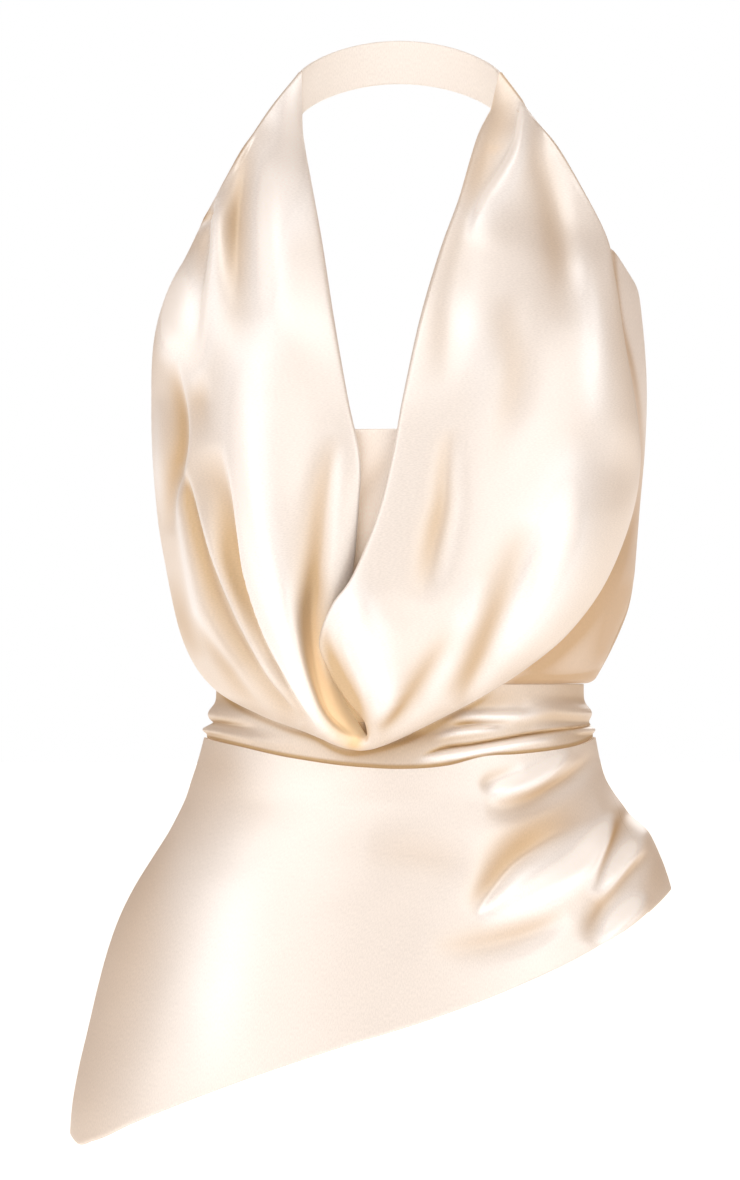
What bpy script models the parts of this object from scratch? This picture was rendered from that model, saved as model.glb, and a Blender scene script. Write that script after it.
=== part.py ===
"""Satin halter top with a cowl neck, worn and hollow: a neck band, a draped cowl over a plain
under bodice, a waistband with horizontal folds, and a skirt with a slanted hem.

Lengths are millimetres in the garment's own frame until a mesh is made: x to the viewer's right,
y to the back, z up, with z = 0 at the middle of the waistband and y = 0 at the sides.
"""

import math
from collections import namedtuple

import bpy
import numpy as np

MM = 0.001
WALL = 1.2
BAND_WALL = 2.0
PANEL_GAP = 0.6
LAYER_LIFT = 1.9

NECK_HALF_WIDTH = 64.0
NECK_BACK_REACH = 57.0
NECK_CENTRE_Y = 5.0
BAND_HEIGHT = 26.0
BAND_END_Z = 402.5
BAND_RISE = 22.0

WAIST_TOP_Z = 18.1
SIDE_SEAM_DEG = 94.0
SIDE_SEAM_RADIUS = 160.0
WAIST_RADIUS = 120.0
SKIRT_GAP = 1.8 * PANEL_GAP
LEFT_INSET = 7.0
INSET_START_Z = 19.0
INSET_RUN = 12.0

SATIN_FRONT = (0.93, 0.84, 0.75, 1.0)
SATIN_UNDER = (0.80, 0.66, 0.54, 1.0)
SATIN_BAND = (0.95, 0.89, 0.83, 1.0)
SATIN_WAIST = (0.86, 0.74, 0.62, 1.0)
SATIN_SKIRT = (0.91, 0.81, 0.72, 1.0)

Fold = namedtuple("Fold", "start middle end width depth lean")

# The bodice on a general figure, at mid wall: it blouses out just above the waist seam.
BODICE = (
    # height, half_width, front, back
    (303.0, 149.5, 80.0, 80.0),
    (285.0, 153.0, 89.0, 86.0),
    (268.0, 155.8, 96.0, 90.0),
    (233.0, 159.3, 107.0, 93.0),
    (203.0, 160.3, 114.0, 94.0),
    (170.0, 159.0, 117.0, 94.0),
    (136.0, 156.0, 116.5, 93.0),
    (111.0, 154.0, 114.5, 92.0),
    (86.0, 151.8, 111.5, 91.0),
    (68.0, 148.5, 108.0, 90.0),
    (53.0, 143.0, 104.0, 89.5),
    (38.0, 136.0, 99.0, 89.0),
    (27.0, 130.0, 94.5, 88.5),
    (21.5, 126.5, 91.5, 88.0),
    (19.4, 122.8, 89.0, 87.5),
    (19.0, 119.6, 87.0, 86.8),
)

# The bodice's upper edge: straight across the chest, a horn under each arm, low at the back.
BODICE_EDGE = (
    # degrees from the front, height
    (-94.0, 258.0),
    (-86.0, 266.0),
    (-72.0, 268.0),
    (-60.0, 250.0),
    (-44.0, 205.0),
    (-32.0, 184.0),
    (-18.0, 182.0),
    (0.0, 182.0),
    (18.0, 182.0),
    (32.0, 186.0),
    (46.0, 224.0),
    (58.0, 276.0),
    (66.0, 301.0),
    (74.0, 286.0),
    (86.0, 271.0),
    (94.0, 258.0),
    (108.0, 214.0),
    (126.0, 146.0),
    (146.0, 92.0),
    (164.0, 70.0),
    (180.0, 66.0),
)

# Sections of the cowl from its inner edge to its outer edge, from the left neck seam down to the
# pinch over the waistband and up to the right neck seam.
COWL = (
    # in_x, in_y, in_z, out_x, out_y, out_z, round, crown, roll, turn, sweep, under
    (-64.0, 4.4, 390.0, -64.3, 4.4, 415.0, 0.0, 0.6, 1.6, 1.6, 175.0, 5.0),
    (-63.6, -13.0, 373.0, -86.0, -12.0, 388.0, 0.3, 2.0, 1.8, 1.6, 175.0, 5.0),
    (-60.0, -41.0, 347.0, -111.0, -31.0, 349.0, 0.5, 3.0, 2.0, 1.6, 175.0, 6.0),
    (-53.0, -69.0, 307.0, -134.0, -37.0, 305.0, 0.8, 3.0, 2.0, 1.6, 175.0, 6.0),
    (-45.0, -98.0, 255.0, -157.5, -12.0, 252.0, 1.0, 2.0, 2.0, 1.6, 178.0, 6.0),
    (-36.0, -117.0, 203.0, -161.5, 5.0, 196.0, 1.0, 2.0, 2.0, 1.6, 180.0, 6.0),
    (-28.0, -125.0, 164.0, -158.5, 5.0, 138.0, 1.0, 5.0, 2.0, 1.6, 180.0, 6.0),
    (-28.6, -125.0, 131.0, -153.0, 4.0, 99.0, 1.0, 9.0, 2.0, 1.6, 180.0, 6.0),
    (-32.0, -121.0, 89.0, -141.0, -4.0, 47.0, 1.0, 13.0, 2.0, 1.6, 175.0, 6.0),
    (-38.0, -114.0, 53.0, -122.0, -36.0, 17.0, 1.0, 17.0, 2.0, 2.6, 120.0, 7.0),
    (-41.6, -108.0, 32.5, -92.0, -72.0, -0.6, 1.0, 18.0, 2.0, 4.5, 90.0, 10.0),
    (-37.7, -102.0, 11.0, -62.0, -86.0, -12.0, 1.0, 16.0, 1.8, 5.0, 95.0, 11.0),
    (-28.6, -99.0, -5.0, -39.0, -94.0, -21.0, 1.0, 10.0, 1.8, 5.5, 110.0, 11.0),
    (-21.5, -106.0, -15.5, -24.0, -98.0, -24.0, 1.0, 2.0, 1.8, 5.5, 115.0, 11.0),
    (-23.4, -117.0, -4.0, -6.0, -98.0, -19.0, 1.0, 3.0, 2.4, 5.5, 100.0, 11.0),
    (-34.5, -126.0, 9.0, 23.0, -98.0, -5.0, 1.0, 5.0, 3.2, 5.0, 90.0, 11.0),
    (-46.8, -132.0, 28.6, 54.6, -92.0, 11.7, 1.0, 6.0, 3.6, 5.0, 90.0, 11.0),
    (-51.4, -136.0, 46.8, 83.0, -85.0, 30.0, 1.0, 7.0, 3.6, 5.0, 90.0, 11.0),
    (-43.0, -138.0, 69.0, 109.0, -78.0, 52.0, 1.0, 7.0, 3.2, 5.0, 90.0, 11.0),
    (-29.0, -139.0, 88.0, 132.0, -63.0, 83.0, 1.0, 6.0, 2.6, 4.5, 90.0, 11.0),
    (-14.3, -136.0, 126.0, 148.5, -42.0, 122.0, 1.0, 4.0, 2.2, 3.5, 90.0, 11.0),
    (-5.2, -129.0, 164.0, 155.5, -29.0, 157.0, 1.0, 3.0, 2.0, 2.8, 90.0, 10.0),
    (2.0, -119.0, 204.0, 154.0, -42.0, 190.0, 1.0, 2.0, 2.0, 2.6, 90.0, 10.0),
    (13.0, -99.0, 255.0, 145.6, -54.0, 238.0, 1.0, 2.0, 2.0, 2.4, 90.0, 9.0),
    (26.0, -73.0, 300.0, 138.0, -52.0, 282.0, 0.9, 3.0, 2.0, 2.2, 100.0, 8.0),
    (39.0, -50.0, 336.0, 130.0, -40.0, 313.0, 0.7, 3.0, 2.0, 1.8, 150.0, 6.0),
    (50.0, -24.0, 372.0, 104.0, -29.0, 362.0, 0.5, 3.0, 2.0, 1.6, 175.0, 6.0),
    (57.0, -8.0, 387.0, 84.5, -13.0, 389.0, 0.3, 2.0, 1.8, 1.6, 175.0, 5.0),
    (62.0, 4.4, 391.0, 64.3, 4.4, 415.0, 0.0, 0.6, 1.6, 1.6, 175.0, 5.0),
)
COWL_NAMES = "in_x in_y in_z out_x out_y out_z round crown roll turn sweep under"
PINCH_SECTION = 13.0
FIRST_SEATED = 8.3
LAST_SEATED = 24.8
NECK_FACING = 9.0
CROWN_SKEW = 0.8

LEFT_LOBE_FOLDS = (
    Fold((-101, 372), (-108, 320), (-100, 230), 10.0, -6.0, 0.3),
    Fold((-120, 336), (-121, 300), (-119, 255), 7.0, 3.0, 0.6),
    Fold((-88, 350), (-84, 300), (-82, 220), 13.0, 3.0, 0.0),
    Fold((-107, 281), (-97, 170), (-84, 80), 20.0, 5.0, 0.0),
    Fold((-145, 226), (-141, 180), (-146, 130), 6.0, -5.0, 0.4),
    Fold((-142, 142), (-139, 110), (-132, 68), 7.0, 4.0, 0.0),
    Fold((-141, 166), (-127, 90), (-88, 12), 7.5, -7.0, -0.3),
    Fold((-123, 100), (-107, 50), (-76, 4), 8.0, 5.0, 0.0),
    Fold((-114, 156), (-103, 80), (-58, -10), 7.5, -9.0, -0.4),
    Fold((-84, 100), (-72, 30), (-38, -18), 12.0, 5.0, 0.0),
    Fold((-36, 170), (-50, 110), (-56, 14), 10.0, -8.0, 0.4),
)
RIGHT_LOBE_FOLDS = (
    Fold((90, 376), (97, 330), (107, 270), 9.0, -6.0, 0.0),
    Fold((112, 340), (120, 305), (128, 255), 8.0, 4.0, 0.0),
    Fold((80, 389), (75, 364), (52, 330), 6.0, 3.5, 0.5),
    Fold((60, 340), (54, 290), (56, 230), 14.0, 3.5, 0.0),
    Fold((38, 312), (30, 280), (22, 240), 12.0, -3.5, 0.0),
    Fold((76, 250), (74, 218), (70, 180), 12.0, -3.0, 0.0),
    Fold((36, 184), (25, 118), (8, 66), 12.0, -7.5, 0.0),
    Fold((106, 160), (100, 90), (60, 30), 24.0, 5.0, 0.0),
    Fold((72, 110), (56, 45), (0, -12), 11.0, -7.0, 0.2),
    Fold((-34, 66), (-18, 30), (6, -4), 14.0, 5.0, 0.0),
)

# Waist seam between the waistband and the skirt: it dips under the cowl.
WAIST_SEAM = (
    # degrees from the front, height
    (-180.0, -17.0),
    (-120.0, -17.0),
    (-85.0, -16.5),
    (-55.0, -21.5),
    (-33.0, -28.8),
    (-12.0, -34.5),
    (0.0, -35.8),
    (14.0, -33.5),
    (25.0, -27.8),
    (36.0, -26.4),
    (58.0, -22.5),
    (85.0, -16.5),
    (120.0, -17.0),
    (180.0, -17.0),
)

WAISTBAND = (
    # height, half_width, front, back
    (18.1, 119.2, 86.8, 86.4),
    (5.0, 119.6, 87.2, 86.6),
    (-10.0, 123.0, 88.5, 87.5),
    (-17.0, 125.5, 90.0, 88.5),
    (-36.0, 127.5, 92.5, 90.0),
)

WAIST_FRONT_FOLDS = (
    Fold((-128, 0), (-118, -1), (-104, -4), 5.0, 4.0, 0.0),
    Fold((-130, -11), (-122, -11.5), (-108, -14), 2.4, 5.0, 0.0),
    Fold((128, -1), (112, 0), (80, 3), 5.0, 4.0, 0.0),
    Fold((130, -11), (121, -11.5), (100, -13), 2.4, 5.0, 0.0),
    Fold((112, -12), (76, -15.5), (20, -23.5), 3.2, -3.0, 0.0),
    Fold((104, -17), (66, -22), (18, -30), 5.0, 3.5, 0.0),
    Fold((84, -5), (52, -6.5), (30, -10), 4.0, -2.2, 0.0),
)
WAIST_BACK_FOLDS = (
    Fold((-128, 0), (-60, 3), (20, -2), 5.5, 3.2, 0.0),
    Fold((128, -1), (80, -4), (-30, -9), 5.0, 3.0, 0.0),
)

SKIRT = (
    # height, left, right, front, back
    (-15.0, 126.6, 126.6, 91.2, 88.6),
    (-30.0, 130.6, 129.6, 94.0, 92.0),
    (-45.0, 135.4, 134.2, 97.5, 97.0),
    (-57.0, 139.4, 142.0, 100.0, 102.0),
    (-66.0, 143.6, 149.6, 102.5, 106.0),
    (-76.0, 149.0, 159.4, 105.0, 109.0),
    (-95.0, 161.4, 169.6, 108.0, 114.0),
    (-111.0, 171.4, 175.2, 111.0, 117.0),
    (-133.0, 182.4, 180.0, 114.0, 120.0),
    (-153.0, 189.6, 184.0, 117.0, 122.0),
    (-177.0, 196.2, 188.0, 119.5, 124.0),
    (-204.0, 202.4, 192.0, 122.0, 126.0),
    (-235.0, 209.4, 196.0, 125.0, 128.0),
    (-256.0, 213.0, 199.0, 127.0, 130.0),
    (-284.0, 215.0, 202.0, 129.0, 132.0),
)

FRONT_HEM = (
    # across, height
    (-216.0, -272.0),
    (-210.0, -279.0),
    (-200.0, -277.0),
    (-174.0, -265.0),
    (-112.0, -240.0),
    (-40.0, -215.0),
    (15.0, -198.0),
    (71.5, -177.0),
    (128.0, -150.0),
    (156.0, -132.0),
    (173.0, -118.0),
    (182.0, -108.0),
)
BACK_HEM = (
    # across, height
    (-216.0, -272.0),
    (-200.0, -264.0),
    (-140.0, -243.0),
    (-60.0, -214.0),
    (20.0, -187.0),
    (90.0, -161.0),
    (140.0, -139.0),
    (160.0, -129.5),
    (182.0, -110.0),
)
RIGHT_SEAM_TOP_DEG = 90.0
RIGHT_SEAM_HEM_DEG = 64.0
LEFT_SEAM_DEG = -93.0

SKIRT_FRONT_FOLDS = (
    Fold((126, -32), (98, -44), (58, -58), 9.0, 3.0, 0.3),
    Fold((118, -42), (92, -55), (60, -68), 7.0, -3.5, 0.0),
    Fold((102, -74), (78, -88), (50, -122), 10.0, -4.0, 0.3),
    Fold((136, -78), (108, -110), (56, -132), 11.0, 4.5, 0.2),
    Fold((140, -80), (133, -95), (129, -114), 5.0, -4.0, 0.0),
    Fold((159, -84), (146, -98), (132, -112), 7.0, 3.5, 0.0),
    Fold((160, -102), (146, -115), (124, -148), 8.0, -4.0, 0.2),
    Fold((104, -133), (76, -148), (28, -152), 12.0, -3.0, 0.0),
    Fold((70, -42), (60, -45), (46, -48), 6.0, -1.5, 0.0),
)
SKIRT_BACK_FOLDS = (
    Fold((120, -30), (96, -60), (70, -110), 12.0, 4.0, 0.0),
    Fold((60, -34), (30, -80), (-10, -150), 14.0, -4.0, 0.2),
    Fold((-70, -34), (-96, -100), (-130, -200), 16.0, 4.5, 0.0),
    Fold((-20, -60), (-50, -120), (-86, -210), 12.0, -3.5, 0.0),
    Fold((-136, -80), (-158, -150), (-176, -240), 12.0, -3.0, 0.0),
)


def ease(t):
    """Smooth step from 0 at t = 0 to 1 at t = 1."""
    t = np.clip(t, 0.0, 1.0)
    return t * t * (3.0 - 2.0 * t)


def through(knots, values, at):
    """Cubic curve through the values at rising knots, read at the given places."""
    knots = np.asarray(knots, float)
    values = np.asarray(values, float)
    slopes = np.gradient(values, knots, axis=0)
    low = np.clip(np.searchsorted(knots, at, side="right") - 1, 0, len(knots) - 2)
    span = knots[low + 1] - knots[low]
    t = np.clip((at - knots[low]) / span, 0.0, 1.0)
    a = (1 + 2 * t) * (1 - t) ** 2
    b = t * (1 - t) ** 2 * span
    c = t * t * (3 - 2 * t)
    d = t * t * (t - 1) * span
    return a * values[low] + b * slopes[low] + c * values[low + 1] + d * slopes[low + 1]


def column(rows, index, at):
    """One column of a table whose first column falls, read at the given heights."""
    table = np.array(rows, float)[::-1]
    return through(table[:, 0], table[:, index], at)


def fold_depth(folds, x, z):
    """Sum of all the folds' heights at places seen from the front."""
    total = np.zeros(np.shape(x))
    for fold in folds:
        total += one_fold(fold, x, z)
    return total


def one_fold(fold, x, z, steps=10):
    """A soft ridge or trough along a bent path, steeper on the side that it leans to."""
    start, middle, end = (np.array(p, float) for p in (fold.start, fold.middle, fold.end))
    t = np.linspace(0.0, 1.0, steps + 1)[:, None]
    bend = 2.0 * middle - 0.5 * (start + end)
    path = (1 - t) ** 2 * start + 2 * t * (1 - t) * bend + t * t * end
    nearest = np.full(np.shape(x), 1e9)
    side = np.zeros(np.shape(x))
    along = np.zeros(np.shape(x))
    for i in range(steps):
        run = path[i + 1] - path[i]
        length2 = float(run @ run)
        dx, dz = x - path[i][0], z - path[i][1]
        f = np.clip((dx * run[0] + dz * run[1]) / length2, 0.0, 1.0)
        distance = np.hypot(dx - f * run[0], dz - f * run[1])
        closer = distance < nearest
        nearest = np.where(closer, distance, nearest)
        across = (run[0] * dz - run[1] * dx) / math.sqrt(length2)
        side = np.where(closer, across, side)
        along = np.where(closer, (i + f) / steps, along)
    lean = np.tanh(side / fold.width) * fold.lean
    width = fold.width * (1.0 + lean)
    fade = ease(along / 0.3) * ease((1.0 - along) / 0.3)
    return fold.depth * np.exp(-((nearest / width) ** 2)) * fade


def normals_of(surface, u, v, du, dv):
    """Unit normals of a surface function, turned to its outer face."""
    across = surface(u + du, v) - surface(u - du, v)
    down = surface(u, v + dv) - surface(u, v - dv)
    normal = np.cross(down, across)
    return normal / np.maximum(np.linalg.norm(normal, axis=-1, keepdims=True), 1e-9)


class Cowl:
    """The draped front as a surface over u, along its nested curves, and v, inner to outer edge."""

    def __init__(self):
        self.table = dict(zip(COWL_NAMES.split(), np.array(COWL, float).T))
        self.rows = np.arange(len(COWL), dtype=float)

    def read(self, name, u):
        return through(self.rows, self.table[name], u)

    def base(self, u, v):
        """The unfolded lobe: a rounded quarter section from the inner edge to the outer one."""
        inner = [self.read("in_" + axis, u) for axis in "xyz"]
        outer = [self.read("out_" + axis, u) for axis in "xyz"]
        k = self.read("round", u)
        angle = np.clip(v, -0.2, 1.0) * math.pi / 2
        part = (1 - k) * v + k * np.sin(angle)
        back = (1 - k) * v + k * (1 - np.cos(angle))
        bulge = self.read("crown", u) * np.sin(math.pi * np.clip(v, 0.0, 1.0) ** CROWN_SKEW)
        x = inner[0] + (outer[0] - inner[0]) * part
        y = inner[1] + (outer[1] - inner[1]) * back - bulge
        z = inner[2] + (outer[2] - inner[2]) * part
        return np.stack([x, y, z], axis=-1)

    def draped(self, u, v):
        """The lobe with its folds, which die away at both edges."""
        point = self.base(u, v)
        normal = normals_of(self.base, u, np.clip(v, 0.02, 0.98), 0.02, 0.01)
        x, z = point[..., 0], point[..., 2]
        right = ease((u - PINCH_SECTION + 0.8) / 1.6)
        depth = (1 - right) * fold_depth(LEFT_LOBE_FOLDS, x, z)
        depth += right * fold_depth(RIGHT_LOBE_FOLDS, x, z)
        depth *= ease((v + 0.05) / 0.2) * ease((1.02 - v) / 0.16)
        return point + normal * depth[..., None]

    def grid(self, per_section, main_rows, turn_rows):
        """Points of the whole sheet: neck facing, rolled edge, lobe, turned edge and return."""
        u = np.linspace(0.0, self.rows[-1], (len(COWL) - 1) * per_section + 1)[:, None]
        roll = self.read("roll", u)
        turn = self.read("turn", u)
        v = np.linspace(0.0, 1.0, main_rows)[None, :]
        lobe = self.draped(u + 0 * v, v + 0 * u)
        inner = [self.rolled(u, roll, part) for part in (1.0, 0.45)]
        for angle in np.linspace(math.pi, 0.0, turn_rows + 1)[:-1]:
            inner.append(self.edge(u, 0.0, roll, angle))
        outer = []
        sweep = np.radians(self.read("sweep", u))
        for part in np.linspace(0.0, 1.0, turn_rows + 1)[1:]:
            outer.append(self.edge(u, 1.0, turn, sweep * part))
        for part in (0.5, 1.0):
            outer.append(self.edge(u, 1.0, turn, sweep, self.read("under", u) * part))
        outer = [self.seated(points, u) for points in outer]
        return np.concatenate(inner + [lobe] + outer, axis=1)

    def rolled(self, u, roll, part):
        """A row of the neck facing, a little behind the lobe it backs."""
        ends = self.base(u, np.ones_like(u)) - self.base(u, np.zeros_like(u))
        length = np.maximum(np.linalg.norm(ends, axis=-1), 1.0)
        v = np.minimum(NECK_FACING * part / length, 0.5)
        point = self.draped(u, v)
        normal = normals_of(self.draped, u, v, 0.02, 0.01)
        return point - normal * 2 * roll[..., None]

    def edge(self, u, v_edge, radius, angle, run=0.0):
        """A row of a turned edge: an arc of the given radius, then a straight run."""
        v = np.full_like(u, v_edge)
        point = self.draped(u, v)
        inside = -normals_of(self.draped, u, np.clip(v, 0.02, 0.98), 0.02, 0.01)
        step = 0.02 if v_edge == 0.0 else -0.02
        out = point - self.draped(u, v + step)
        out -= inside * np.sum(out * inside, axis=-1, keepdims=True)
        out /= np.maximum(np.linalg.norm(out, axis=-1, keepdims=True), 1e-9)
        radius = np.asarray(radius)[..., None]
        angle = (np.asarray(angle) + 0 * u)[..., None]
        run = (np.asarray(run) + 0 * u)[..., None]
        arc = radius * (out * np.sin(angle) + inside * (1 - np.cos(angle)))
        return point + arc + run * (out * np.cos(angle) + inside * np.sin(angle))

    def seated(self, points, u):
        """Keeps a turned row of the drape just in front of the layer that it lies on."""
        x, y, z = (points[..., i] for i in range(3))
        limit = under_layer_y(x, z, LAYER_LIFT)
        drape = (u > FIRST_SEATED) & (u < LAST_SEATED) & (np.abs(x) < column(BODICE, 1, z))
        points[..., 1] = np.where(drape, np.minimum(y, limit), y)
        return points


def under_layer_y(x, z, lift):
    """Depth, seen from the front, of an oval this far outside the bodice or the waistband."""
    upper = z > WAIST_TOP_Z
    wide = np.where(upper, column(BODICE, 1, z), column(WAISTBAND, 1, z)) + lift
    front = np.where(upper, column(BODICE, 2, z), column(WAISTBAND, 2, z)) + lift
    return -front * np.sqrt(np.clip(1.0 - (x / wide) ** 2, 0.0, 1.0))


def on_oval(angle, left, right, front, back):
    """x and y on an oval with its own half widths and depths for each quarter."""
    sine, cosine = np.sin(angle), np.cos(angle)
    wide = np.where(sine < 0, left, right)
    deep = np.where(cosine > 0, front, back)
    return wide * sine, -deep * cosine


def oval_normal(angle, left, right, front, back):
    """Outward normal, level, of the same oval."""
    sine, cosine = np.sin(angle), np.cos(angle)
    wide = np.where(sine < 0, left, right)
    deep = np.where(cosine > 0, front, back)
    length = np.hypot(deep * sine, wide * cosine)
    return deep * sine / length, -wide * cosine / length


def tube_panel(angle, z, table, front_folds, back_folds, widths, depths):
    """Points of a panel that wraps a figure, with its folds raised along the level normal."""
    sizes = [column(table, i, z) for i in (*widths, *depths)]
    x, y = on_oval(angle, *sizes)
    nx, ny = oval_normal(angle, *sizes)
    front = ease((np.cos(angle) + 0.2) / 0.25)
    depth = front * fold_depth(front_folds, x, z) + (1 - front) * fold_depth(back_folds, x, z)
    return np.stack([x + nx * depth, y + ny * depth, z + 0 * x], axis=-1)


def bodice_panel(first_deg, last_deg, columns, rows):
    """A bodice piece between two side seams, from its shaped upper edge to the waist seam."""
    degrees = np.linspace(first_deg, last_deg, columns)
    edge = np.array(BODICE_EDGE, float)
    top = through(edge[:, 0], edge[:, 1], np.where(degrees > 180, 360 - degrees, degrees))
    heights = np.array(BODICE, float)[:, 0]
    places = np.arange(len(heights), dtype=float)
    start = np.interp(-top, -heights, places)[:, None]
    place = start + (places[-1] - start) * np.linspace(0.0, 1.0, rows)[None, :]
    table = [through(places, np.array(BODICE, float)[:, i], place) for i in range(4)]
    angle = np.radians(degrees)[:, None]
    left = table[1] - LEFT_INSET * ease((table[0] - INSET_START_Z) / INSET_RUN)
    x, y = on_oval(angle, left, table[1], table[2], table[3])
    return np.stack([x, y, table[0]], axis=-1)


def waist_seam(degrees):
    seam = np.array(WAIST_SEAM, float)
    return through(seam[:, 0], seam[:, 1], np.where(degrees > 180, degrees - 360, degrees))


def waistband_panel(first_deg, last_deg, columns, rows):
    """A waistband piece from the bodice seam to the skirt seam."""
    degrees = np.linspace(first_deg, last_deg, columns)
    bottom = waist_seam(degrees)[:, None]
    t = np.linspace(0.0, 1.0, rows)[None, :]
    z = WAIST_TOP_Z + (bottom - WAIST_TOP_Z) * t
    angle = np.radians(degrees)[:, None] + 0 * z
    return tube_panel(angle, z, WAISTBAND, WAIST_FRONT_FOLDS, WAIST_BACK_FOLDS, (1, 1), (2, 3))


def hem_height(angle, hem, first_guess=-190.0, rounds=40):
    """Height of the slanted hem at each angle, found by walking down to the hem's own line."""
    line = np.array(hem, float)
    z = np.full(np.shape(angle), first_guess)
    for _ in range(rounds):
        x, _ = on_oval(angle, *(column(SKIRT, i, z) for i in (1, 2, 3, 4)))
        z = 0.5 * z + 0.5 * through(line[:, 0], line[:, 1], x)
    return z


def skirt_panel(first, last, columns, rows, hem):
    """A skirt piece between two seams, each given in degrees at the waist and at the hem."""
    s = np.linspace(0.0, 1.0, columns)[:, None]
    t = np.linspace(0.0, 1.0, rows)[None, :]
    spread = [a + (b - a) * ease(t * 1.4) for a, b in (first, last)]
    degrees = spread[0] + (spread[1] - spread[0]) * s
    angle = np.radians(degrees)
    top = waist_seam(degrees) - PANEL_GAP
    bottom = hem_height(angle[:, -1], hem)[:, None]
    z = top + (bottom - top) * t
    return tube_panel(angle, z, SKIRT, SKIRT_FRONT_FOLDS, SKIRT_BACK_FOLDS, (1, 2), (3, 4))


def neck_band_points(columns):
    """The band round the back of the neck, between the two halter seams."""
    reach = math.pi / 2 - 2 * PANEL_GAP / NECK_BACK_REACH
    angle = np.linspace(-reach, reach, columns)[:, None]
    level = np.linspace(0.5, -0.5, 3)[None, :]
    x = NECK_HALF_WIDTH * np.sin(angle) + 0 * level
    y = NECK_CENTRE_Y + NECK_BACK_REACH * np.cos(angle) + 0 * level
    z = BAND_END_Z + BAND_RISE * np.cos(angle) ** 1.5 + BAND_HEIGHT * level
    return np.stack([x, y, z], axis=-1)


def satin(name, colour):
    """Material of one piece: pale satin with a soft sheen."""
    material = bpy.data.materials.new(name)
    material.use_nodes = True
    shader = material.node_tree.nodes["Principled BSDF"]
    shader.inputs["Base Color"].default_value = colour
    shader.inputs["Roughness"].default_value = 0.36
    shader.inputs["Metallic"].default_value = 0.0
    return material


def cloth_piece(name, points, colour, collection, origin, wall=WALL):
    """Makes an open surface from a grid of points and gives it a wall with Solidify."""
    across, down = points.shape[:2]
    index = np.arange(across * down).reshape(across, down)
    corners = (index[:-1, :-1], index[1:, :-1], index[1:, 1:], index[:-1, 1:])
    faces = np.stack(corners, axis=-1).reshape(-1, 4)
    mesh = bpy.data.meshes.new(name)
    mesh.from_pydata((points.reshape(-1, 3) * MM).tolist(), [], faces.tolist())
    mesh.materials.append(satin(name + "_satin", colour))
    mesh.shade_smooth()
    piece = bpy.data.objects.new(name, mesh)
    collection.objects.link(piece)
    piece.parent = origin
    shell = piece.modifiers.new("wall", "SOLIDIFY")
    shell.thickness = wall * MM
    shell.offset = 0.0
    shell.use_rim = True
    return piece


def main():
    for item in list(bpy.data.objects):
        bpy.data.objects.remove(item, do_unlink=True)
    top = bpy.data.collections.new("cowl_neck_top")
    bpy.context.scene.collection.children.link(top)
    origin = bpy.data.objects.new("neck_hold", None)
    nape_y = NECK_CENTRE_Y + NECK_BACK_REACH - BAND_WALL / 2
    nape_z = BAND_END_Z + BAND_RISE
    origin.location = (0.0, -nape_y * MM, -nape_z * MM)
    top.objects.link(origin)

    seam = SIDE_SEAM_DEG - math.degrees(PANEL_GAP / SIDE_SEAM_RADIUS) / 2
    back_seam = SIDE_SEAM_DEG + math.degrees(PANEL_GAP / SIDE_SEAM_RADIUS) / 2
    right_gap = math.degrees(SKIRT_GAP / WAIST_RADIUS)
    front_left = (LEFT_SEAM_DEG, LEFT_SEAM_DEG)
    front_right = (RIGHT_SEAM_TOP_DEG, RIGHT_SEAM_HEM_DEG)
    back_right = (RIGHT_SEAM_TOP_DEG + right_gap, RIGHT_SEAM_HEM_DEG + right_gap)
    back_left = (360 + LEFT_SEAM_DEG - right_gap,) * 2
    pieces = (
        ("neck_band", neck_band_points(25), SATIN_BAND, BAND_WALL),
        ("cowl_front", Cowl().grid(2, 18, 4), SATIN_FRONT, WALL),
        ("bodice_front", bodice_panel(-seam, seam, 33, 10), SATIN_UNDER, WALL),
        ("bodice_back", bodice_panel(back_seam, 360 - back_seam, 21, 7), SATIN_UNDER, WALL),
        ("waistband_front", waistband_panel(-seam, seam, 33, 11), SATIN_WAIST, WALL),
        ("waistband_back", waistband_panel(back_seam, 360 - back_seam, 21, 8), SATIN_WAIST, WALL),
        ("skirt_front", skirt_panel(front_left, front_right, 33, 14, FRONT_HEM), SATIN_SKIRT, WALL),
        ("skirt_back", skirt_panel(back_right, back_left, 27, 10, BACK_HEM), SATIN_SKIRT, WALL),
    )
    for name, points, colour, wall in pieces:
        cloth_piece(name, points, colour, top, origin, wall)


main()
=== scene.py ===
"""Looks of a satin halter top with a draped cowl neck, worn and hollow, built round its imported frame.

Sizes are millimetres in the garment's own frame until a mesh is made: x to the viewer's right, y to
the back, z up, with z = 0 at the middle of the waistband and y = 0 at the sides. Meshes are metres in
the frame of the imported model.
"""

from __future__ import annotations

import logging
import math
from dataclasses import dataclass
from enum import Enum
from typing import Callable

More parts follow.
